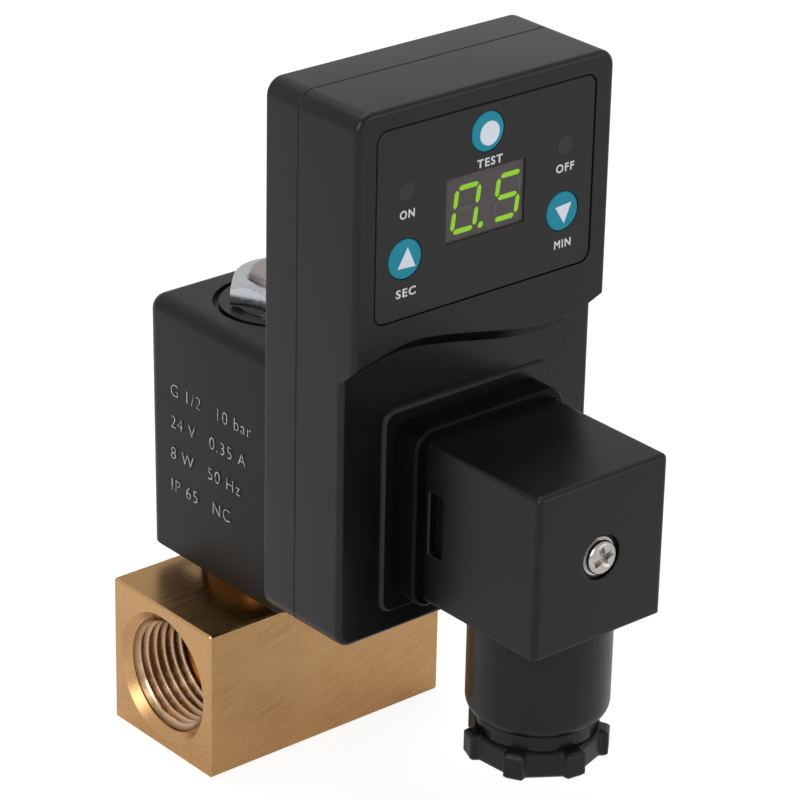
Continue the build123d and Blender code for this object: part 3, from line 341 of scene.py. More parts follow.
# %% Brushed streaks group
streak_height = 0.01 * MM
streak_shortening = 0.03
depth_on_ends = 0.15
patches_per_metre = 70.0
streak_group, streak_in, streak_out = new_group(
    "brushed streaks",
    [("Slant", -0.24), ("Lines per metre", 2400.0), ("Depth", 0.3)],
    [("Normal", "NodeSocketVector"), ("Streak", "NodeSocketFloat"), ("Patch", "NodeSocketFloat")],
)
link = streak_group.links.new
place = add_node(streak_group, "ShaderNodeTexCoord")
split = add_node(streak_group, "ShaderNodeSeparateXYZ")
link(place.outputs["Object"], split.inputs["Vector"])
looks = add_node(streak_group, "ShaderNodeSeparateXYZ")
link(place.outputs["Normal"], looks.inputs["Vector"])
sideways = add_node(streak_group, "ShaderNodeMath", operation="ABSOLUTE")
link(looks.outputs["Y"], sideways.inputs[0])
slant_here = add_node(streak_group, "ShaderNodeMath", operation="MULTIPLY")
link(sideways.outputs["Value"], slant_here.inputs[0])
link(streak_in.outputs["Slant"], slant_here.inputs[1])
endways = add_node(streak_group, "ShaderNodeMath", operation="ABSOLUTE")
link(looks.outputs["X"], endways.inputs[0])
depth_here = add_node(streak_group, "ShaderNodeMath", operation="MULTIPLY")
link(streak_in.outputs["Depth"], depth_here.inputs[0])
kept_depth = ramp(streak_group, endways.outputs["Value"], 0, 1, 1.0, depth_on_ends)
link(kept_depth, depth_here.inputs[1])
# Across the lines: the height, leaned over along the bar by the slant
lean = add_node(streak_group, "ShaderNodeMath", operation="MULTIPLY")
link(split.outputs["X"], lean.inputs[0])
link(slant_here.outputs["Value"], lean.inputs[1])
across = add_node(streak_group, "ShaderNodeMath", operation="ADD")
link(split.outputs["Z"], across.inputs[0])
link(lean.outputs["Value"], across.inputs[1])
along = add_node(streak_group, "ShaderNodeMath", {1: streak_shortening}, operation="MULTIPLY")
link(split.outputs["X"], along.inputs[0])
lines_at = add_node(streak_group, "ShaderNodeCombineXYZ")
link(along.outputs["Value"], lines_at.inputs["X"])
link(split.outputs["Y"], lines_at.inputs["Y"])
link(across.outputs["Value"], lines_at.inputs["Z"])
streaks = add_node(streak_group, "ShaderNodeTexNoise", {"Detail": 3.0, "Roughness": 0.65})
link(lines_at.outputs["Vector"], streaks.inputs["Vector"])
link(streak_in.outputs["Lines per metre"], streaks.inputs["Scale"])
bump = add_node(streak_group, "ShaderNodeBump", {"Distance": streak_height})
link(depth_here.outputs["Value"], bump.inputs["Strength"])
link(streaks.outputs["Fac"], bump.inputs["Height"])
link(bump.outputs["Normal"], streak_out.inputs["Normal"])
link(ramp(streak_group, streaks.outputs["Fac"], 0.35, 0.65), streak_out.inputs["Streak"])
patches = add_node(
    streak_group, "ShaderNodeTexNoise",
    {"Scale": patches_per_metre, "Detail": 5.0, "Roughness": 0.62},
)
link(place.outputs["Object"], patches.inputs["Vector"])
link(ramp(streak_group, patches.outputs["Fac"], 0.38, 0.66), streak_out.inputs["Patch"])
print("made group", streak_group.name)

# %% [markdown]
# ## Dark roots of the threads
# Cutting oil and dirt stay in the roots of a thread, and little light gets there, so the roots take
# a brown that is partly oil and dirt and partly painted shade. The distance from the ports' axis
# tells root from crest, so a mask on that distance darkens both the bore's wall and the foot of the
# ridge that is made later with this brown. The mask rises from the crest to just before the wall,
# and falls again behind the wall, so that the chamfer and the end face stay bright.

# %% Thread root group
thread_crest = 9.5 * MM
root_from = 10.35 * MM
root_until = 10.48 * MM
bright_from = 10.60 * MM
block_low, block_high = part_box("valve_body")
port_height = (block_low.z + block_high.z) / 2
root_group, root_in, root_out = new_group(
    "thread root", [("Crest radius", thread_crest)], [("Root", "NodeSocketFloat")]
)
link = root_group.links.new
place = add_node(root_group, "ShaderNodeTexCoord")
split = add_node(root_group, "ShaderNodeSeparateXYZ")
link(place.outputs["Object"], split.inputs["Vector"])
arm = add_node(root_group, "ShaderNodeCombineXYZ")
link(split.outputs["Y"], arm.inputs["Y"])
link(split.outputs["Z"], arm.inputs["Z"])
reach = add_node(
    root_group, "ShaderNodeVectorMath", {1: (0, 0, port_height)}, operation="DISTANCE"
)
link(arm.outputs["Vector"], reach.inputs[0])
rise = ramp(root_group, reach.outputs["Value"], thread_crest, root_from)
link(root_in.outputs["Crest radius"], rise.node.inputs["From Min"])
fall = ramp(root_group, reach.outputs["Value"], root_until, bright_from, 1.0, 0.0)
both = add_node(root_group, "ShaderNodeMath", operation="MULTIPLY")
link(rise, both.inputs[0])
link(fall, both.inputs[1])
link(both.outputs["Value"], root_out.inputs["Root"])
print("made group", root_group.name)

# %% [markdown]
# ## Metals
# Brass, steel, zinc plate, copper and tin take the same streaks, each with its own two colours,
# roughness and number of lines. The brass of the block has something more: a brown in the roots of
# the threads, partly oil and partly painted shade, and a deeper tone where it looks straight up,
# which is a painted shade and a painted reflection of the dark coil above it.

# %% Metals
upward_from = 0.7


def streaked_metal(
    name, bright, dull, roughness_range, slant=0.0, lines=2400.0, depth=0.3, root=None, upper=None
):
    """A streaked metal. root colours the threads' roots with oil and painted shade, and upper paints
    shade and the coil's dark reflection on the faces that look up.
    """
    material, tree, shader = new_material(name, metallic=1.0)
    group = use_group(tree, streak_group, Slant=slant, Lines_per_metre=lines, Depth=depth)
    streaked = blend_colours(tree, group.outputs["Streak"], dull, bright)
    finished = blend_colours(tree, group.outputs["Patch"], bright, streaked)
    # The roots take the root colour: partly oil and dirt, partly painted shade
    if root:
        mask = use_group(tree, root_group).outputs["Root"]
        finished = blend_colours(tree, mask, finished, root)
    # Faces that look up take the upper colour: painted shade and painted reflection of the coil
    if upper:
        looks = add_node(tree, "ShaderNodeSeparateXYZ")
        place = add_node(tree, "ShaderNodeTexCoord")
        tree.links.new(place.outputs["Normal"], looks.inputs["Vector"])
        mask = ramp(tree, looks.outputs["Z"], upward_from, 1.0)
        finished = blend_colours(tree, mask, finished, upper)
    tree.links.new(finished, shader.inputs["Base Color"])
    roughness = ramp(tree, group.outputs["Streak"], 0, 1, *roughness_range)
    tree.links.new(roughness, shader.inputs["Roughness"])
    tree.links.new(group.outputs["Normal"], shader.inputs["Normal"])
    return material


# The roots' brown: partly oil and dirt, partly painted shade where little light gets in
root_oil_and_shade = (0.30, 0.16, 0.07)
# The block's faces that look up get a deeper tone: painted shade and a painted reflection of the
# dark coil above them
brass = streaked_metal(
    "brushed brass", (0.74, 0.44, 0.20), (0.61, 0.35, 0.145), (0.24, 0.34), -0.24, 3400, 0.22,
    root=root_oil_and_shade, upper=(0.52, 0.30, 0.12),
)
thread_brass = streaked_metal(
    "cut brass thread", (0.84, 0.60, 0.40), (0.66, 0.42, 0.23), (0.18, 0.30), 0.0, 900, 0.10,
    root=root_oil_and_shade,
)
# The flange under the coil is far darker than brass: painted shade from the coil above it
shaded_flange_brass = streaked_metal(
    "shaded flange brass", (0.16, 0.09, 0.04), (0.11, 0.06, 0.025), (0.14, 0.22), 0.0, 2400, 0.05
)
zinc_plate = streaked_metal(
    "zinc plate", (0.70, 0.72, 0.76), (0.56, 0.58, 0.63), (0.10, 0.18), 0.0, 1200, 0.04
)
screw_steel = streaked_metal(
    "screw steel", (0.64, 0.61, 0.58), (0.46, 0.43, 0.39), (0.16, 0.26), 0.0, 1500, 0.05
)
stainless = streaked_metal(
    "turned steel", (0.60, 0.59, 0.57), (0.42, 0.41, 0.39), (0.30, 0.45), 0.0, 2600, 0.35
)
stem_steel = streaked_metal(
    "faced stem", (0.44, 0.39, 0.37), (0.34, 0.29, 0.27), (0.26, 0.38), 0.0, 2600, 0.10
)
copper_wire = streaked_metal(
    "copper wire", (0.72, 0.34, 0.18), (0.50, 0.20, 0.10), (0.25, 0.40), 0.0, 3500, 0.6
)
tinned_brass = streaked_metal(
    "tinned blade", (0.74, 0.73, 0.70), (0.62, 0.60, 0.55), (0.22, 0.36), 0.0, 1500, 0.2
)
print("made the metals")

# %% [markdown]
# ## Smoked window
# The window lets the display through and darkens it. It is thin, so its bending of light doesn't
# matter, and a dark glossy shader with a low alpha gives it with little noise: part of the light
# passes straight through, and the rest meets a smooth black surface.

# %% Smoked window
smoked_window, tree, shader = new_material("smoked window")
shader.inputs["Base Color"].default_value = (0.012, 0.010, 0.010, 1.0)
shader.inputs["Roughness"].default_value = 0.08
shader.inputs["Alpha"].default_value = 0.30
window_grain = use_group(tree, grain_group, Grain_per_metre=3000.0, Depth=0.05)
tree.links.new(window_grain.outputs["Normal"], shader.inputs["Normal"])
print("made the window")

# %% [markdown]
# ## Finishes on the CAD nodes
# The record says which material slot each node has. One table turns slots into the finishes above.
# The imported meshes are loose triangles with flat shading. Two modifiers mend that without touching
# the mesh: Weld joins the corners, and Edge Split keeps the real edges sharp.

# %% Dress the CAD nodes
finish_of_slot = {
    "brass": brass,
    "seal_rubber": seal_rubber,
    "gasket_rubber": gasket_rubber,
    "stainless": stainless,
    "copper": copper_wire,
    "zinc_plate": zinc_plate,
    "tinned_brass": tinned_brass,
    "coil_resin": coil_resin,
    "inner_nylon": inner_nylon,
    "timer_plastic": timer_plastic,
    "keypad_film": keypad_film,
    "smoked_window": smoked_window,
    "circuit_board": circuit_board,
    "display_face": display_face,
    "switch_plastic": switch_plastic,
    "led_lens": indicator_lens,
    "chip_epoxy": chip_epoxy,
    "capacitor_sleeve": capacitor_sleeve,
    "plug_plastic": plug_nylon,
    "key_teal": key_teal,
}
slot_of_node = {part["node"]: part["material_slot"] for part in frame["record"]["subparts"]}
smooth_up_to = math.radians(32)
weld_distance = 0.001 * MM
for name, node in nodes.items():
    node.data.materials.clear()
    node.data.materials.append(finish_of_slot[slot_of_node[name]])
    node.data.polygons.foreach_set("use_smooth", [True] * len(node.data.polygons))
    weld = node.modifiers.new("weld", "WELD")
    weld.merge_threshold = weld_distance
    split_edges = node.modifiers.new("sharp edges", "EDGE_SPLIT")
    split_edges.split_angle = smooth_up_to
for name, finish in (
    ("plug_insert", insert_black), ("tube_flange", shaded_flange_brass), ("fixed_core", stem_steel),
    ("plug_screw_washer", screw_steel),
):
    nodes[name].data.materials[0] = finish
print("dressed", len(nodes), "nodes")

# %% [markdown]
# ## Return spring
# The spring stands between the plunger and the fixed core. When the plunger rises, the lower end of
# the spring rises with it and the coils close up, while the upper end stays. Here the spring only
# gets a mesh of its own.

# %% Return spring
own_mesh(nodes["plunger_spring"])

# %% [markdown]
# ## Making a piece
# A piece starts as a bmesh, Blender's mesh for editing. When its shape is done it becomes an object
# at the origin, with its place in its mesh, and rides on one of the valve's bodies.

# %% Piece helper
def make_piece(name, shape, body, material, smooth=True):
    """Turn a finished bmesh into an object that rides on a body."""
    mesh = bpy.data.meshes.new(name)
    shape.to_mesh(mesh)
    shape.free()
    mesh.materials.append(material)
    mesh.polygons.foreach_set("use_smooth", [smooth] * len(mesh.polygons))
    if smooth:
        mesh.set_sharp_from_angle(angle=smooth_up_to)
    piece = bpy.data.objects.new(name, mesh)
    bpy.context.scene.collection.objects.link(piece)
    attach(piece, body)
    print("made", name, "with", len(mesh.polygons), "faces")
    return piece


print("ready: make_piece")

# %% [markdown]
# ## Pipe threads
# Each port has a half-inch pipe thread. A tap cuts a helical groove, which leaves a helical ridge
# with a rounded top. The ridge's section is drawn once and spun round the port, and moves a little
# along it at every step, which is how a screw is made with the spin operator. Where the mouth is
# chamfered the ridge is turned away with it.

# %% Threads in both ports
port_bore = 10.478 * MM
thread_pitch = 1.814 * MM
thread_depth = 1.12 * MM
thread_length = 12.3 * MM
thread_setback = 1.0 * MM
thread_start = block_high.x - thread_setback
mouth_chamfer = 1.522 * MM
steps_per_turn = 64
# The ridge's section: share of the pitch from its middle, and share of the thread's depth
ridge_section = [
    (-0.50, -0.06), (-0.42, 0.02), (-0.16, 0.80), (-0.07, 0.97),
    (0.07, 0.97), (0.16, 0.80), (0.42, 0.02), (0.50, -0.06),
]


def thread_ridge(name, side):
    """The ridge in one port. side is -1 for the inlet, towards -X, and 1 for the outlet."""
    shape = bmesh.new()
    turns = (thread_length - thread_pitch) / thread_pitch
    corners = []
    for share, height in ridge_section:
        along = thread_start - thread_pitch * (0.5 + share)
        radius = port_bore - thread_depth * height
        corners.append(shape.verts.new((side * along, 0, port_height + radius)))
    face = shape.faces.new(corners)
    bmesh.ops.spin(
        shape, geom=[face, *face.edges, *face.verts],
        cent=(0, 0, port_height), axis=(1, 0, 0),
        dvec=(-side * thread_pitch / steps_per_turn, 0, 0),
        angle=side * 2 * math.pi * turns, steps=int(steps_per_turn * turns),
    )
    bmesh.ops.holes_fill(shape, edges=shape.edges, sides=0)
    # The chamfer of the mouth, a cone at 45 degrees, runs on through the ridge
    chamfer_start = block_high.x - mouth_chamfer
    for corner in shape.verts:
        least = port_bore + abs(corner.co.x) - chamfer_start
        arm = Vector((0, corner.co.y, corner.co.z - port_height))
        if arm.length < least:
            arm *= least / arm.length
            corner.co.y = arm.y
            corner.co.z = port_height + arm.z
    bmesh.ops.recalc_face_normals(shape, faces=shape.faces)
    return make_piece(name, shape, "valve", thread_brass)


thread_ridge("inlet_thread", -1)
thread_ridge("outlet_thread", 1)

# %% [markdown]
# ## Print on the panel
# The words beside the keys are printed on the film in a bold, narrow face. A text object gives the
# letters. It is turned into a mesh, thickened to a print's few hundredths of a millimetre, and laid
# on the film.

# %% Words on the keypad
film_low, film_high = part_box("keypad_membrane")
film_face = film_low.y
panel_middle = (film_low.z + film_high.z) / 2
print_thickness = 0.03 * MM
upright = Matrix.Rotation(math.radians(90), 3, "X")


def print_text(
    name, words, size, place, body, material,
    weight=0.030, spacing=1.20, turn=None, wide=1.0,
):
    """Lay printed words on a face. They are written flat, stood up and turned about Z."""
    curve = bpy.data.curves.new(name, "FONT")
    curve.body = words
    curve.size = size
    curve.offset = size * weight
    curve.space_character = spacing
    curve.extrude = print_thickness / 2
    curve.align_x = "CENTER" if turn is None else "LEFT"
    curve.align_y = "CENTER"
    curve.resolution_u = 6
    writer = bpy.data.objects.new(name + "_writer", curve)
    bpy.context.scene.collection.objects.link(writer)
    bpy.context.view_layer.update()
    mesh = bpy.data.meshes.new_from_object(writer)
    bpy.data.objects.remove(writer)
    facing = upright.to_4x4()
    if turn is not None:
        facing = Matrix.Rotation(turn, 4, "Z") @ facing
    mesh.transform(Matrix.Translation(place) @ facing @ Matrix.Diagonal((wide, 1, 1, 1)))
    shape = bmesh.new()
    shape.from_mesh(mesh)
    bmesh.ops.remove_doubles(shape, verts=shape.verts, dist=weld_distance)
    bpy.data.meshes.remove(mesh)
    return make_piece(name, shape, body, material, smooth=False)


label_size = 1.95 * MM
# Words, place from the film's middle in mm, and how far the word is widened
labels = {
    "label_test": ("TEST", 0.6, 6.1, 1.10),
    "label_on": ("ON", -16.3, 1.25, 0.95),
    "label_off": ("OFF", 16.85, 1.25, 1.03),
    "label_sec": ("SEC", -16.25, -12.0, 1.14),
    "label_min": ("MIN", 16.95, -12.0, 0.96),
}
for name, (words, x, z, wide) in labels.items():
    spot = Vector((x * MM, film_face - print_thickness / 2, panel_middle + z * MM))
    print_text(name, words, label_size, spot, "head", label_print, wide=wide)

# %% [markdown]
# ## Cut edge and painted shadow of the film
# The film is punched with small round corners and lies in a shallow pocket. Its cut edge, the gap
# beside it and the shade that the pocket's wall throws on it show as a thin dark line, so a black
# ring paints that line: partly the real edge and gap, partly painted shadow. A grid of one face is
# scaled to the film, its corners are rounded by a bevel, and an inset leaves a ring when the middle
# is deleted. This ring, like the symbols and digits below, is drawn flat and then stood up, so a
# helper does that for all of them.

# %% Helper for flat drawings
def stand_up(shape, thickness, place, lean=0.0):
    """Thicken faces drawn in the XY plane, lean them, and stand them at a place to face -Y."""
    raised = bmesh.ops.extrude_face_region(shape, geom=shape.faces[:])
    lifted = [part for part in raised["geom"] if isinstance(part, bmesh.types.BMVert)]
    bmesh.ops.translate(shape, verts=lifted, vec=(0, 0, thickness))
    for corner in shape.verts:
        corner.co.x += corner.co.y * lean
    bmesh.ops.rotate(shape, verts=shape.verts, matrix=upright)
    bmesh.ops.translate(shape, verts=shape.verts, vec=place)
    bmesh.ops.recalc_face_normals(shape, faces=shape.faces)


print("ready: stand_up")

# %% Dark cut edge and painted shadow of the film
film_corner = 2.1 * MM
edge_and_shadow_width = 0.18 * MM
# The ring's inner edge is moved right and down, so the painted shadow is wider at top and left
shadow_line_shift = (0.17 * MM, -0.12 * MM, 0)
film_size = (film_high.x - film_low.x, film_high.z - film_low.z, 1)
edge_and_shadow_shape = bmesh.new()
bmesh.ops.create_grid(edge_and_shadow_shape, x_segments=1, y_segments=1, size=0.5)
bmesh.ops.scale(edge_and_shadow_shape, verts=edge_and_shadow_shape.verts, vec=film_size)
bmesh.ops.bevel(
    edge_and_shadow_shape, geom=edge_and_shadow_shape.verts[:], affect="VERTICES", offset=film_corner, segments=8,
    profile=0.5, material=-1,
)
middle_faces = edge_and_shadow_shape.faces[:]
bmesh.ops.inset_region(
    edge_and_shadow_shape, faces=middle_faces, thickness=edge_and_shadow_width,
    use_boundary=True, use_even_offset=True,
)
inner = {vert for face in middle_faces for vert in face.verts}
bmesh.ops.translate(edge_and_shadow_shape, verts=list(inner), vec=shadow_line_shift)
bmesh.ops.delete(edge_and_shadow_shape, geom=middle_faces, context="FACES")
film_middle = ((film_low.x + film_high.x) / 2, film_face, panel_middle)
stand_up(edge_and_shadow_shape, print_thickness, film_middle)
# The black ring: the film's cut edge and gap, with painted shadow along it
make_piece("film_edge_and_shadow", edge_and_shadow_shape, "head", insert_black, smooth=False)

# %% [markdown]
# ## Symbols on the keys
# The keys carry a white disc, an arrow up and an arrow down. Each starts as a circle: a many-sided
# one for the disc and a three-sided one for the arrows, extruded to the thickness of the print.
# Printing is never quite centred, so each has a small shift of its own.

# %% Key symbols
def key_symbol_piece(key, sides, radius, turn, stretch=1.0, shift=(0.0, 0.0)):
    """A symbol on the face of a key, turned in its plane, then stretched sideways."""
    low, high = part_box(key)
    shape = bmesh.new()
    bmesh.ops.create_circle(shape, cap_ends=True, segments=sides, radius=radius)
    bmesh.ops.rotate(shape, verts=shape.verts, matrix=Matrix.Rotation(turn, 3, "Z"))
    bmesh.ops.scale(shape, verts=shape.verts, vec=(stretch, 1, 1))
    middle = Vector(((low.x + high.x) / 2 + shift[0], low.y, (low.z + high.z) / 2 + shift[1]))
    stand_up(shape, print_thickness, middle)
    return make_piece(key + "_symbol", shape, key, key_symbol, smooth=False)


key_symbol_piece("test_button", 48, 2.05 * MM, 0.0, shift=(0.3 * MM, -0.3 * MM))
key_symbol_piece(
    "sec_button", 3, 2.35 * MM, math.radians(-3), stretch=0.92, shift=(0.32 * MM, -0.35 * MM)
)
key_symbol_piece(
    "min_button", 3, 2.25 * MM, math.radians(185), stretch=0.92, shift=(0.2 * MM, 0.0)
)

# %% [markdown]
# ## Indicator spots
# In front of each indicator lamp the film has a round spot of the clearer black. Two flat cylinders
# in one mesh make them, each centred on its lamp.

# %% Indicator spots
spot_radius = 1.6 * MM
led_flange = 1.9 * MM
led_low, led_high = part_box("indicator_leds")
spot_shape = bmesh.new()
for x in (led_low.x + led_flange, led_high.x - led_flange):
    spot = bmesh.ops.create_cone(
        spot_shape, cap_ends=True, segments=48, radius1=spot_radius, radius2=spot_radius,
        depth=print_thickness,
    )["verts"]
    bmesh.ops.rotate(spot_shape, verts=spot, matrix=upright)
    middle = Vector((x, film_face - print_thickness / 2, (led_low.z + led_high.z) / 2))
    bmesh.ops.translate(spot_shape, verts=spot, vec=middle)
make_piece("indicator_spots", spot_shape, "head", spot_print, smooth=False)

# %% [markdown]
# ## Light of the display
# Lit segments glow yellow-green, and the others stay as faint shapes in the display's face. The
# glow varies a little within a segment, because the light comes from a small chip behind it.

# %% Glowing and dark segments
glow, tree, shader = new_material("lit segment")
shader.inputs["Base Color"].default_value = (0.02, 0.03, 0.01, 1.0)
shader.inputs["Roughness"].default_value = 0.5
shader.inputs["Emission Strength"].default_value = 1.25
soft_glow = add_node(tree, "ShaderNodeTexNoise", {"Scale": 900.0, "Detail": 2.0})
tree.links.new(
    add_node(tree, "ShaderNodeTexCoord").outputs["Object"], soft_glow.inputs["Vector"]
)
glow_colour = blend_colours(
    tree, soft_glow.outputs["Fac"], (0.24, 0.55, 0.012), (0.33, 0.66, 0.025)
)
tree.links.new(glow_colour, shader.inputs["Emission Color"])
dark_segment = moulded_plastic(
    "dark segment", (0.22, 0.175, 0.165), (0.40, 0.50), 3000, 0.10, 0.02, 0.92
)
print("made the segments' materials")

# %% [markdown]
# ## Diffuser sheet
# A thin pale sheet lies against the back of the window and fills it. The segments lie on its face.
# It is a cube that is scaled to the window's width and height.

# %% Diffuser sheet
window_low, window_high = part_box("display_window")
sheet_thickness = 0.03 * MM
sheet = bmesh.new()
bmesh.ops.create_cube(sheet, size=1.0)
window_size = window_high - window_low
bmesh.ops.scale(sheet, verts=sheet.verts, vec=(window_size.x, sheet_thickness, window_size.z))
window_middle = (window_low + window_high) / 2
window_middle.y = window_high.y - sheet_thickness / 2
bmesh.ops.translate(sheet, verts=sheet.verts, vec=window_middle)
make_piece("diffuser_sheet", sheet, "head", display_face, smooth=False)

# %% [markdown]
# ## Display digits
# Two seven-segment digits lean a little to the right, each with a round point at its foot. A
# segment is a long hexagon. Which segments glow is read from a small table. The lit and the dark
# ones of a digit make one piece each, so that each piece has one material.

# %% Sizes of the digits
display_low, display_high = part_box("display_module")
digit_height = 7.25 * MM
digit_width = 4.65 * MM
digit_lean = math.tan(math.radians(8))
digit_drop = 0.33 * MM
digit_middle_z = (display_low.z + display_high.z) / 2 - digit_drop
display_face_y = window_high.y - sheet_thickness
segment_width = 0.84 * MM
segment_gap = 0.28 * MM
segment_thickness = 0.05 * MM
point_radius = 0.52 * MM
point_place = (3.7 * MM, -3.62 * MM, 0)
digit_places = {"left_digit": -3.8 * MM, "right_digit": 4.95 * MM}
lit_segments = {"left_digit": "abcdef", "right_digit": "acdfg"}
# Ends of each segment in shares of half the digit's width and half its height
segments = {
    "a": ((-1, 1), (1, 1)), "b": ((1, 1), (1, 0)), "c": ((1, 0), (1, -1)),
    "d": ((-1, -1), (1, -1)), "e": ((-1, 0), (-1, -1)), "f": ((-1, 1), (-1, 0)),
    "g": ((-1, 0), (1, 0)),
}
print("digits are", round(digit_height / MM, 2), "mm high")


# %% Digits and points
def add_segment(shape, start, end):
    """A long hexagon from start to end, both given in the digit's upright plane."""
    run = (end - start).normalized()
    side = Vector((-run.y, run.x)) * segment_width / 2
    first = start + run * segment_gap
    last = end - run * segment_gap
    shoulder = run * segment_width / 2
    outline = [
        first, first + shoulder + side, last - shoulder + side,
        last, last - shoulder - side, first + shoulder - side,
    ]
    shape.faces.new([shape.verts.new((point.x, point.y, 0)) for point in outline])


def finish_display_piece(name, shape, middle_x, material):
    """Lean a flat drawing, stand it on the diffuser sheet and make it a piece."""
    stand_up(
        shape, segment_thickness, (middle_x, display_face_y, digit_middle_z), lean=digit_lean
    )
    return make_piece(name, shape, "head", material, smooth=False)


for digit, middle_x in digit_places.items():
    for state, material in (("lit", glow), ("dark", dark_segment)):
        chosen = [key for key in segments if (key in lit_segments[digit]) == (state == "lit")]
        shape = bmesh.new()
        for key in chosen:
            ends = [Vector((x * digit_width / 2, y * digit_height / 2)) for x, y in segments[key]]
            add_segment(shape, *ends)
        finish_display_piece(f"{digit}_{state}", shape, middle_x, material)

for name, digit, material in (
    ("left_point", "left_digit", glow), ("right_point", "right_digit", dark_segment),
):
    shape = bmesh.new()
    bmesh.ops.create_circle(shape, cap_ends=True, segments=24, radius=point_radius)
    bmesh.ops.translate(shape, verts=shape.verts, vec=point_place)
    finish_display_piece(name, shape, digit_places[digit], material)

# %% [markdown]
# ## Cross-recess screws
# The long plug screw and the four case screws have pan heads with a cross recess. The head is a
# profile spun round the screw's axis. Its top is filled between the rim and the outline of a cross,
# and from that outline walls go down, drawn together towards the bottom, to a floor with a point in
# the middle. A plain shank reaches down to the screw's end. All of it is made standing along Z and
# then turned to lie along Y.

# %% Screw heads
recess_share = 0.80
rim_share = 0.30
dome_share = 0.66
dome_steps = 6
arm_share = 0.88
arm_half_share = 0.19
floor_share = 0.80
point_share = 1.25
arm_taper = 0.72
corner_taper = 0.9
head_steps = 48
same_height = 0.0001 * MM


def pan_head(shape, radius, height, shaft_radius):
    """A pan head without its top face, spun round Z."""
    recess = radius * recess_share
    profile = [(shaft_radius, 0.0), (radius, 0.0), (radius, height * rim_share)]
    for step in range(1, dome_steps):
        angle = math.radians(90) * step / dome_steps
        bulge = radius - (radius - recess) * (1 - math.cos(angle))
        profile.append((bulge, height * (rim_share + dome_share * math.sin(angle))))
    profile.append((recess, height))
    rim = [shape.verts.new((out, 0, up)) for out, up in profile]
    edges = [shape.edges.new(pair) for pair in zip(rim, rim[1:])]
    bmesh.ops.spin(
        shape, geom=rim + edges, cent=(0, 0, 0), axis=(0, 0, 1), angle=2 * math.pi,
        steps=head_steps, use_merge=True,
    )


def cross_recess(shape, made, radius, height):
    """The head's top with a sunk cross. made holds the vertices of this screw's head."""
    ring = sorted(
        (vert for vert in made if abs(vert.co.z - height) < same_height),
        key=lambda vert: math.atan2(vert.co.y, vert.co.x),
    )
    cross = []
    arm = radius * recess_share * arm_share
    half = radius * arm_half_share
    for quarter in range(4):
        spin = Matrix.Rotation(math.radians(90) * quarter, 3, "Z")
        for point in ((arm, -half, 0), (arm, half, 0), (half, half, 0)):
            cross.append(shape.verts.new(spin @ Vector(point) + Vector((0, 0, height))))
    outlines = []
    for loop in (cross, ring):
        for here, there in zip(loop, loop[1:] + loop[:1]):
            outlines.append(shape.edges.get((here, there)) or shape.edges.new((here, there)))
    bmesh.ops.triangle_fill(shape, use_beauty=True, edges=outlines)
    for face in [face for face in shape.faces if all(vert in cross for vert in face.verts)]:
        shape.faces.remove(face)
    depth = height * floor_share
    floor = []
    for vert in cross:
        x, y, _ = vert.co
        at_arm_end = max(abs(x), abs(y)) > (arm + half) / 2
        taper = arm_taper if at_arm_end else corner_taper
        floor.append(shape.verts.new((x * taper, y * taper, height - depth)))
    point = shape.verts.new((0, 0, height - depth * point_share))
    sides = [(i, (i + 1) % len(cross)) for i in range(len(cross))]
    for i, j in sides:
        shape.faces.new((cross[i], cross[j], floor[j], floor[i]))
    for i, j in sides:
        shape.faces.new((floor[i], floor[j], point))


def screw_piece(name, node, places, head, shaft_radius, direction, turn, material):
    """Screws along Y with heads of a radius and height, facing -Y or +Y as direction says."""
    head_radius, head_height = head
    shape = bmesh.new()
    for x, z, seat, end in places:
        before = set(shape.verts)
        pan_head(shape, head_radius, head_height, shaft_radius)
        made = [vert for vert in shape.verts if vert not in before]
        cross_recess(shape, made, head_radius, head_height)
        length = abs(end - seat)
        shank = bmesh.ops.create_cone(
            shape, cap_ends=True, segments=32, radius1=shaft_radius, radius2=shaft_radius,
            depth=length,
        )["verts"]
        bmesh.ops.translate(shape, verts=shank, vec=(0, 0, -length / 2))
        made = [vert for vert in shape.verts if vert not in before]
        bmesh.ops.rotate(shape, verts=made, matrix=Matrix.Rotation(turn, 3, "Z"))
        lying = Matrix.Rotation(math.radians(90) * -direction, 3, "X")
        bmesh.ops.rotate(shape, verts=made, matrix=lying)
        bmesh.ops.translate(shape, verts=made, vec=(x, seat, z))
    bmesh.ops.recalc_face_normals(shape, faces=shape.faces)
    piece = make_piece(name, shape, "head", material)
    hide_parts(node)
    return piece


# %% Plug screw and case screws
plug_screw_low, plug_screw_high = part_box("plug_screw")
connector_z = (plug_screw_low.z + plug_screw_high.z) / 2
plug_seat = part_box("plug_screw_washer")[0].y
plug_head = (2.95 * MM, 1.3 * MM)
plug_shaft = 1.5 * MM
screw_piece(
    "plug_screw_head", "plug_screw", [(0.0, connector_z, plug_seat, plug_screw_high.y)],
    plug_head, plug_shaft, -1, math.radians(20), screw_steel,
)

case_low, case_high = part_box("timer_screws")
case_inset = 2.3 * MM
case_head = (2.25 * MM, 1.3 * MM)
case_shaft = 1.2 * MM
case_places = [
    (x, z, case_high.y - case_head[1], case_low.y)
    for x in (case_low.x + case_inset, case_high.x - case_inset)
    for z in (case_low.z + case_inset, case_high.z - case_inset)
]
screw_piece(
    "case_screw_heads", "timer_screws", case_places, case_head, case_shaft, 1,
    math.radians(35), zinc_plate,
)

# %% [markdown]
# ## Print on the coil
# The coil carries four lines of small print on its side, with plain ratings. The ink is thin on the
# rough resin, so it fades and breaks up within a stroke: noise mixes a paler and a darker ink.

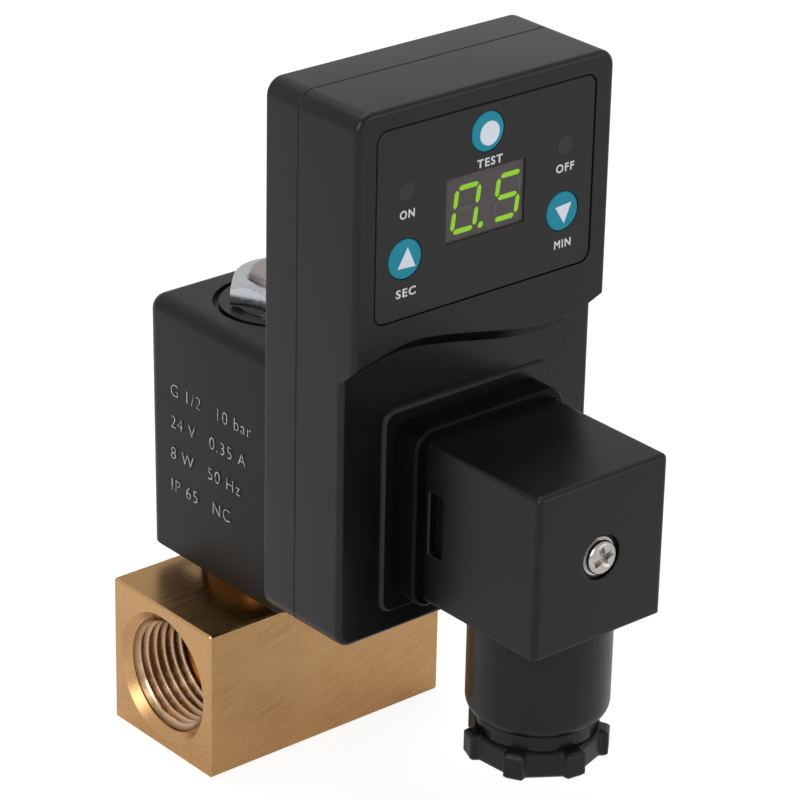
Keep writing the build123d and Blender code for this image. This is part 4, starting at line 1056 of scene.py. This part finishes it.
# %% Coil print
coil_ink, tree, shader = new_material("coil ink")
shader.inputs["Roughness"].default_value = 0.55
worn = add_node(tree, "ShaderNodeTexNoise", {"Scale": 700.0, "Detail": 3.0, "Roughness": 0.6})
tree.links.new(add_node(tree, "ShaderNodeTexCoord").outputs["Object"], worn.inputs["Vector"])
ink_left = ramp(tree, worn.outputs["Fac"], 0.38, 0.58)
faded = blend_colours(tree, ink_left, (0.20, 0.20, 0.205), (0.60, 0.60, 0.62))
tree.links.new(faded, shader.inputs["Base Color"])
coil_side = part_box("coil_case")[0].x
coil_print_size = 3.4 * MM
coil_print_start = 10.2 * MM
# Words and height above the floor in mm
coil_lines = {
    "coil_print_ports": ("G 1/2   10 bar", 63.2),
    "coil_print_volts": ("24 V   0.35 A", 57.1),
    "coil_print_watts": ("8 W   50 Hz", 51.1),
    "coil_print_sealing": ("IP 65   NC", 44.9),
}
for name, (words, z) in coil_lines.items():
    spot = Vector((coil_side - print_thickness / 2, coil_print_start, z * MM))
    print_text(
        name, words, coil_print_size, spot, "head", coil_ink,
        weight=-0.021, spacing=1.15, turn=math.radians(-90),
    )

# %% [markdown]
# ## Floor, backdrop and light
# The valve stands on a pale floor under large soft lamps. Light Path tells which rays come from the
# camera. They see the floor and the world as nearly white, while the light that both throw on the
# valve stays moderate. The floor keeps some plain diffuse shading for the valve's shadow.

# %% Floor
floor_half = 3.0
floor_drop = 0.05 * MM
floor_shape = bmesh.new()
bmesh.ops.create_grid(floor_shape, x_segments=1, y_segments=1, size=floor_half)
floor_mesh = bpy.data.meshes.new("floor")
floor_shape.to_mesh(floor_mesh)
floor_shape.free()
floor = bpy.data.objects.new("floor", floor_mesh)
floor.location.z = -floor_drop
bpy.context.scene.collection.objects.link(floor)

floor_white, tree, shader = new_material("floor")
shader.inputs["Base Color"].default_value = (0.80, 0.80, 0.80, 1.0)
shader.inputs["Roughness"].default_value = 0.9
seen = add_node(tree, "ShaderNodeLightPath")
glow_floor = add_node(tree, "ShaderNodeEmission", {"Color": (1, 1, 1, 1), "Strength": 0.80})
shade = add_node(tree, "ShaderNodeBsdfDiffuse", {"Color": (0.32, 0.32, 0.32, 1)})
lifted = add_node(tree, "ShaderNodeAddShader")
tree.links.new(glow_floor.outputs["Emission"], lifted.inputs[0])
tree.links.new(shade.outputs["BSDF"], lifted.inputs[1])
mixed = add_node(tree, "ShaderNodeMixShader")
tree.links.new(seen.outputs["Is Camera Ray"], mixed.inputs["Fac"])
tree.links.new(shader.outputs["BSDF"], mixed.inputs[1])
tree.links.new(lifted.outputs["Shader"], mixed.inputs[2])
tree.links.new(mixed.outputs["Shader"], tree.nodes["Material Output"].inputs["Surface"])
floor_mesh.materials.append(floor_white)
print("made the floor,", 2 * floor_half, "m wide")

# %% World
ambient = 0.62
world = bpy.data.worlds.new("studio")
bpy.context.scene.world = world
world.use_nodes = True
tree = world.node_tree
sky = tree.nodes["Background"]
sky.inputs["Color"].default_value = (1.0, 1.0, 1.0, 1.0)
path = add_node(tree, "ShaderNodeLightPath")
either = add_node(tree, "ShaderNodeMath", operation="MAXIMUM")
tree.links.new(path.outputs["Is Camera Ray"], either.inputs[0])
tree.links.new(path.outputs["Is Transmission Ray"], either.inputs[1])
strength = add_node(tree, "ShaderNodeMapRange", {"To Min": ambient, "To Max": 1.0})
tree.links.new(either.outputs["Value"], strength.inputs["Value"])
tree.links.new(strength.outputs["Result"], sky.inputs["Strength"])
print("the world lights the valve with a strength of", ambient)


# %% Lamps
def softbox(name, place, aim, size, power):
    """A rectangular lamp at a place, turned towards its aim. Its power is in watts."""
    lamp = bpy.data.lights.new(name, "AREA")
    lamp.shape = "RECTANGLE"
    lamp.size, lamp.size_y = size
    lamp.energy = power
    box = bpy.data.objects.new(name, lamp)
    box.location = place
    box.rotation_euler = (Vector(aim) - Vector(place)).to_track_quat("-Z", "Y").to_euler()
    bpy.context.scene.collection.objects.link(box)
    print("made", name, "with", power, "W")


valve_middle = (0.0, -0.02, 0.07)
softbox("key_lamp", (-0.75, -0.35, 0.60), valve_middle, (0.60, 0.60), 3.0)
softbox("fill_lamp", (0.55, -0.90, 0.35), valve_middle, (0.70, 0.50), 1.0)
softbox("top_lamp", (0.10, 0.25, 0.95), valve_middle, (0.70, 0.50), 2.0)

# %% [markdown]
# ## Finish
# The render is shown without any film-like curve, so a colour looks as it is written.

# %% Finish
bpy.context.scene.view_settings.view_transform = "Standard"
